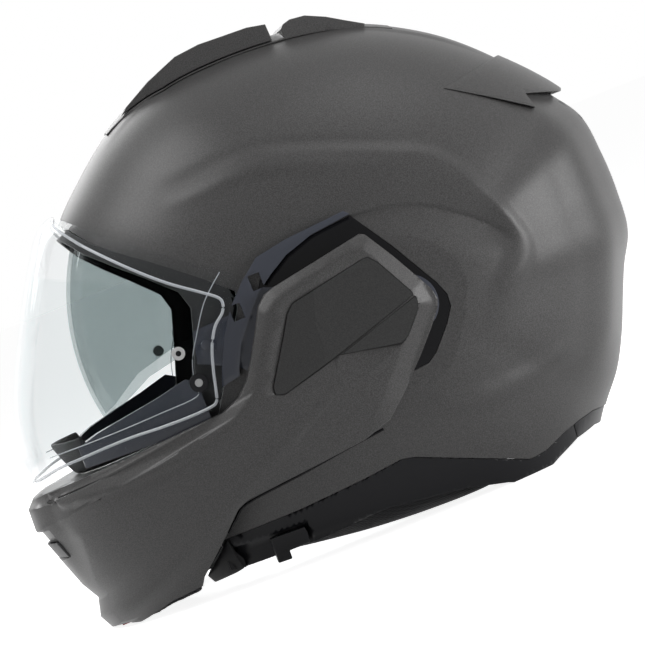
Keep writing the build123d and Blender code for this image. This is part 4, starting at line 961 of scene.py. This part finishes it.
def lining_seams(places):
    """Panels of the crown lining: two seams from front to back, and seams across between them."""
    along = seam(np.abs(places[:, 0]) - LINING_SEAM_X, *LINING_LONG_SEAM)
    turn = np.arctan2(places[:, 2] - HINGE_Z, places[:, 1] - HINGE_Y)
    return np.maximum(along, seam_row(turn * SHELL_REACH, *LINING_CROSS_SEAM))


def curtain_seams(places):
    """Gathers of the chin curtain, side by side."""
    return seam_row(places[:, 0], *CURTAIN_SEAM)


def curtain():
    """Thin fabric curtain under the chin, with a soft edge."""
    obj = remeshed("chin_curtain", "curtain_cloth", CURTAIN_VOXEL)
    shrink_and_relax(obj, 0.0, CURTAIN_RELAX)
    sewn(obj, curtain_seams)
    smooth(obj, PAD_SHARP)
    dressed(obj, "chin_curtain", "lining_fabric", "chin_bar")


def strap(side, side_name):
    """Flat webbing along the chin strap's path."""
    path = smooth_path([(side * x, 0, z) for x, z in STRAP_PATH], STRAP_STEPS)
    half, thick = STRAP_WIDTH / 2, STRAP_THICKNESS / 2
    web = STRAP_WEB_SHARE * thick
    upper = [(-half + STRAP_EDGE, thick), (-half + STRAP_RIB, web), (half - STRAP_RIB, web),
             (half - STRAP_EDGE, thick)]
    section = [(-half, 0)] + upper + [(half, 0)] + [(y, -t) for y, t in reversed(upper)]
    verts = []
    for i, point in enumerate(path):
        along = (path[min(i + 1, len(path) - 1)] - path[max(i - 1, 0)]).normalized()
        out = along.cross(Vector((0, 1, 0)))
        verts += [(point + Vector((0, y, 0)) + out * t) * MM for y, t in section]
    obj = make_object("strap_webbing_" + side_name, verts, ring_faces(len(path), len(section)))
    smooth(obj, LINER_SHARP)
    dressed(obj, "chin_strap_" + side_name, "strap_webbing", "helmet")


# Smooth runs of the form lines, and the rear crease as rising turns with their distances
SWOOSH_PATH = [(p.y, p.z) for p in smooth_path([(0, y, z) for y, z in SWOOSH_LINE], FORM_LINE_STEPS)]
RECESS_PATH = [(p.y, p.z) for p in smooth_path([(0, y, z) for y, z in RECESS_LINE], FORM_LINE_STEPS)]
REAR_EDGE_CURVE = np.array(REAR_EDGE_LINE[::-1], float).T

# Dressed and added pieces
outer_shell()
chin_skin()
for side_name in ("left", "right"):
    trim_skin(side_name)
rounded_copy("top_vent_slider", "vent_scoop", VENT_ROUNDING, "shell_paint", "top_scoop")
rounded_copy("top_vent_base", "vent_hump", VENT_ROUNDING, "shell_paint", "helmet")
shield_ridges()
round_button("shield_disc", DISC_PLACE, DISC_RADIUS, "trim_black", "pin_grey")
round_button("lens_pin_ring", PIN_PLACE, PIN_RING_RADIUS, "pin_grey", "trim_black")
chin_rim()
cap_joints()
arm_gap_shade_strips()
rounded_copy("shield_tab", "lift_tab", TAB_ROUNDING, "shield_clear", "shield")
breath_guard()

# Pads: node, piece, voxel size and most movement in millimetres, fill, and seams
for pad_row in (("cheek_pad_left", "cheek_cushion_left", 4.5, 5.0, 0.7, cheek_seams),
                ("cheek_pad_right", "cheek_cushion_right", 4.5, 5.0, 0.7, cheek_seams),
                ("neck_roll", "neck_cushion", 4.0, 5.0, 0.7, neck_seams),
                ("comfort_lining", "crown_lining", 3.6, 2.5, 0.4, lining_seams)):
    stuffed(*pad_row)
curtain()
for strap_side, side_name in SIDE_NAMES.items():
    strap(strap_side, side_name)

# Solids that stay as they are: smooth shading, and rounded edges in millimetres
for node in nodes.values():
    if not node.hide_render:
        smooth(node, SOLID_SHARP)
for node_name, width in (("rear_spoiler", 0.7), ("rear_trim", 0.5), ("sun_visor_lever", 0.5),
                         ("front_trim_cap_left", 0.4), ("front_trim_cap_right", 0.4),
                         ("buckle_frame", 0.6), ("buckle_lever", 0.5), ("release_button", 0.6),
                         ("chin_vent_slider", 0.4), ("shield_arm_left", 0.4), ("shield_arm_right", 0.4),
                         ("exhaust_grille", 0.3)):
    rounded_edges(nodes[node_name], width)

# Floor and world: white where they are seen, and dimmer as light on the object
FLOOR_HALF = 30.0
FLOOR_GLOW, FLOOR_COLOUR, FLOOR_ROUGHNESS = 0.885, 0.75, 0.9
WORLD_LIGHT, WORLD_WHITE = 0.13, 1.0


def background_rays(n, links):
    """1 for camera, transmission and glossy rays, which see the white background, and 0 for all others."""
    path = n.new("ShaderNodeLightPath")
    value = path.outputs["Is Camera Ray"]
    for kind in ("Is Transmission Ray", "Is Glossy Ray"):
        value = math_node(n, links, "MAXIMUM", value, path.outputs[kind])
    return value


def backdrop_material(name):
    """White for the camera, for reflections and for clear pieces, and still able to hold a shadow."""
    mat, n, links = node_tree(name)
    shader = n["Principled BSDF"]
    set_inputs(shader, Base_Color=(FLOOR_COLOUR, FLOOR_COLOUR, FLOOR_COLOUR, 1), Roughness=FLOOR_ROUGHNESS,
               Specular_IOR_Level=0.0)
    glow = n.new("ShaderNodeEmission")
    links.new(math_node(n, links, "MULTIPLY", background_rays(n, links), FLOOR_GLOW), glow.inputs["Strength"])
    add = n.new("ShaderNodeAddShader")
    links.new(shader.outputs["BSDF"], add.inputs[0])
    links.new(glow.outputs["Emission"], add.inputs[1])
    links.new(add.outputs["Shader"], n["Material Output"].inputs["Surface"])
    return mat


corners = [(x * FLOOR_HALF, y * FLOOR_HALF, 0) for x, y in ((-1, -1), (1, -1), (1, 1), (-1, 1))]
floor = make_object("floor", corners, [(0, 1, 2, 3)])
floor.data.materials.append(backdrop_material("floor_white"))

world = bpy.data.worlds.new("studio")
scene.world = world
world.use_nodes = True
world_nodes, world_links = world.node_tree.nodes, world.node_tree.links
sky = world_nodes["Background"]
set_inputs(sky, Color=(1, 1, 1, 1))
level = world_nodes.new("ShaderNodeMapRange")
set_inputs(level, To_Min=WORLD_LIGHT, To_Max=WORLD_WHITE)
world_links.new(background_rays(world_nodes, world_links), level.inputs["Value"])
world_links.new(level.outputs["Result"], sky.inputs["Strength"])

# Camera at the wearer's left, rolled and turned as the photograph is. Lengths are in metres.
ROLL = math.radians(21.7)
YAW = math.radians(5.0)
CAMERA_DISTANCE = 2.2
CAMERA_AIM = Vector((0.0, 0.00548, 0.10869))
PICTURE_WIDTH = 0.34185
SENSOR_WIDTH = 36.0
VIEW_DEPTH = 100.0
back = Vector((math.cos(YAW), -math.sin(YAW) * math.cos(ROLL), math.sin(YAW) * math.sin(ROLL)))
up = Vector((0, math.sin(ROLL), math.cos(ROLL)))
right = up.cross(back)
camera_data = bpy.data.cameras.new("camera")
camera_data.sensor_width = SENSOR_WIDTH
camera_data.lens = SENSOR_WIDTH * CAMERA_DISTANCE / PICTURE_WIDTH
camera_data.clip_end = VIEW_DEPTH
camera = bpy.data.objects.new("camera", camera_data)
scene.collection.objects.link(camera)
basis = Matrix((right, up, back)).transposed().to_4x4()
basis.translation = CAMERA_AIM + CAMERA_DISTANCE * back
camera.matrix_world = basis
scene.camera = camera

LAMP_AIM = Vector((0, 0, 0.13))


def softbox(name, place, size, power):
    """Area light at a place, turned towards the object, in metres and watts."""
    data = bpy.data.lights.new(name, "AREA")
    data.shape = "RECTANGLE"
    data.size, data.size_y = size
    data.energy = power
    lamp = bpy.data.objects.new(name, data)
    scene.collection.objects.link(lamp)
    lamp.location = place
    lamp.rotation_euler = (LAMP_AIM - Vector(place)).to_track_quat("-Z", "Y").to_euler()


def lamp_place(sideways, upwards, towards):
    """Place of a lamp from the picture's right, up and towards the camera, in metres."""
    return LAMP_AIM + sideways * right + upwards * up + towards * back


softbox("rear_light", lamp_place(1.15, 0.15, 0.42), (0.9, 1.1), 38)
softbox("front_light", lamp_place(-1.7, 1.2, 0.30), (1.1, 1.1), 30)
softbox("top_light", lamp_place(0.1, 2.0, 0.4), (1.2, 1.0), 8)
softbox("far_light", (-1.8, -0.4, 1.2), (1.2, 1.2), 16)
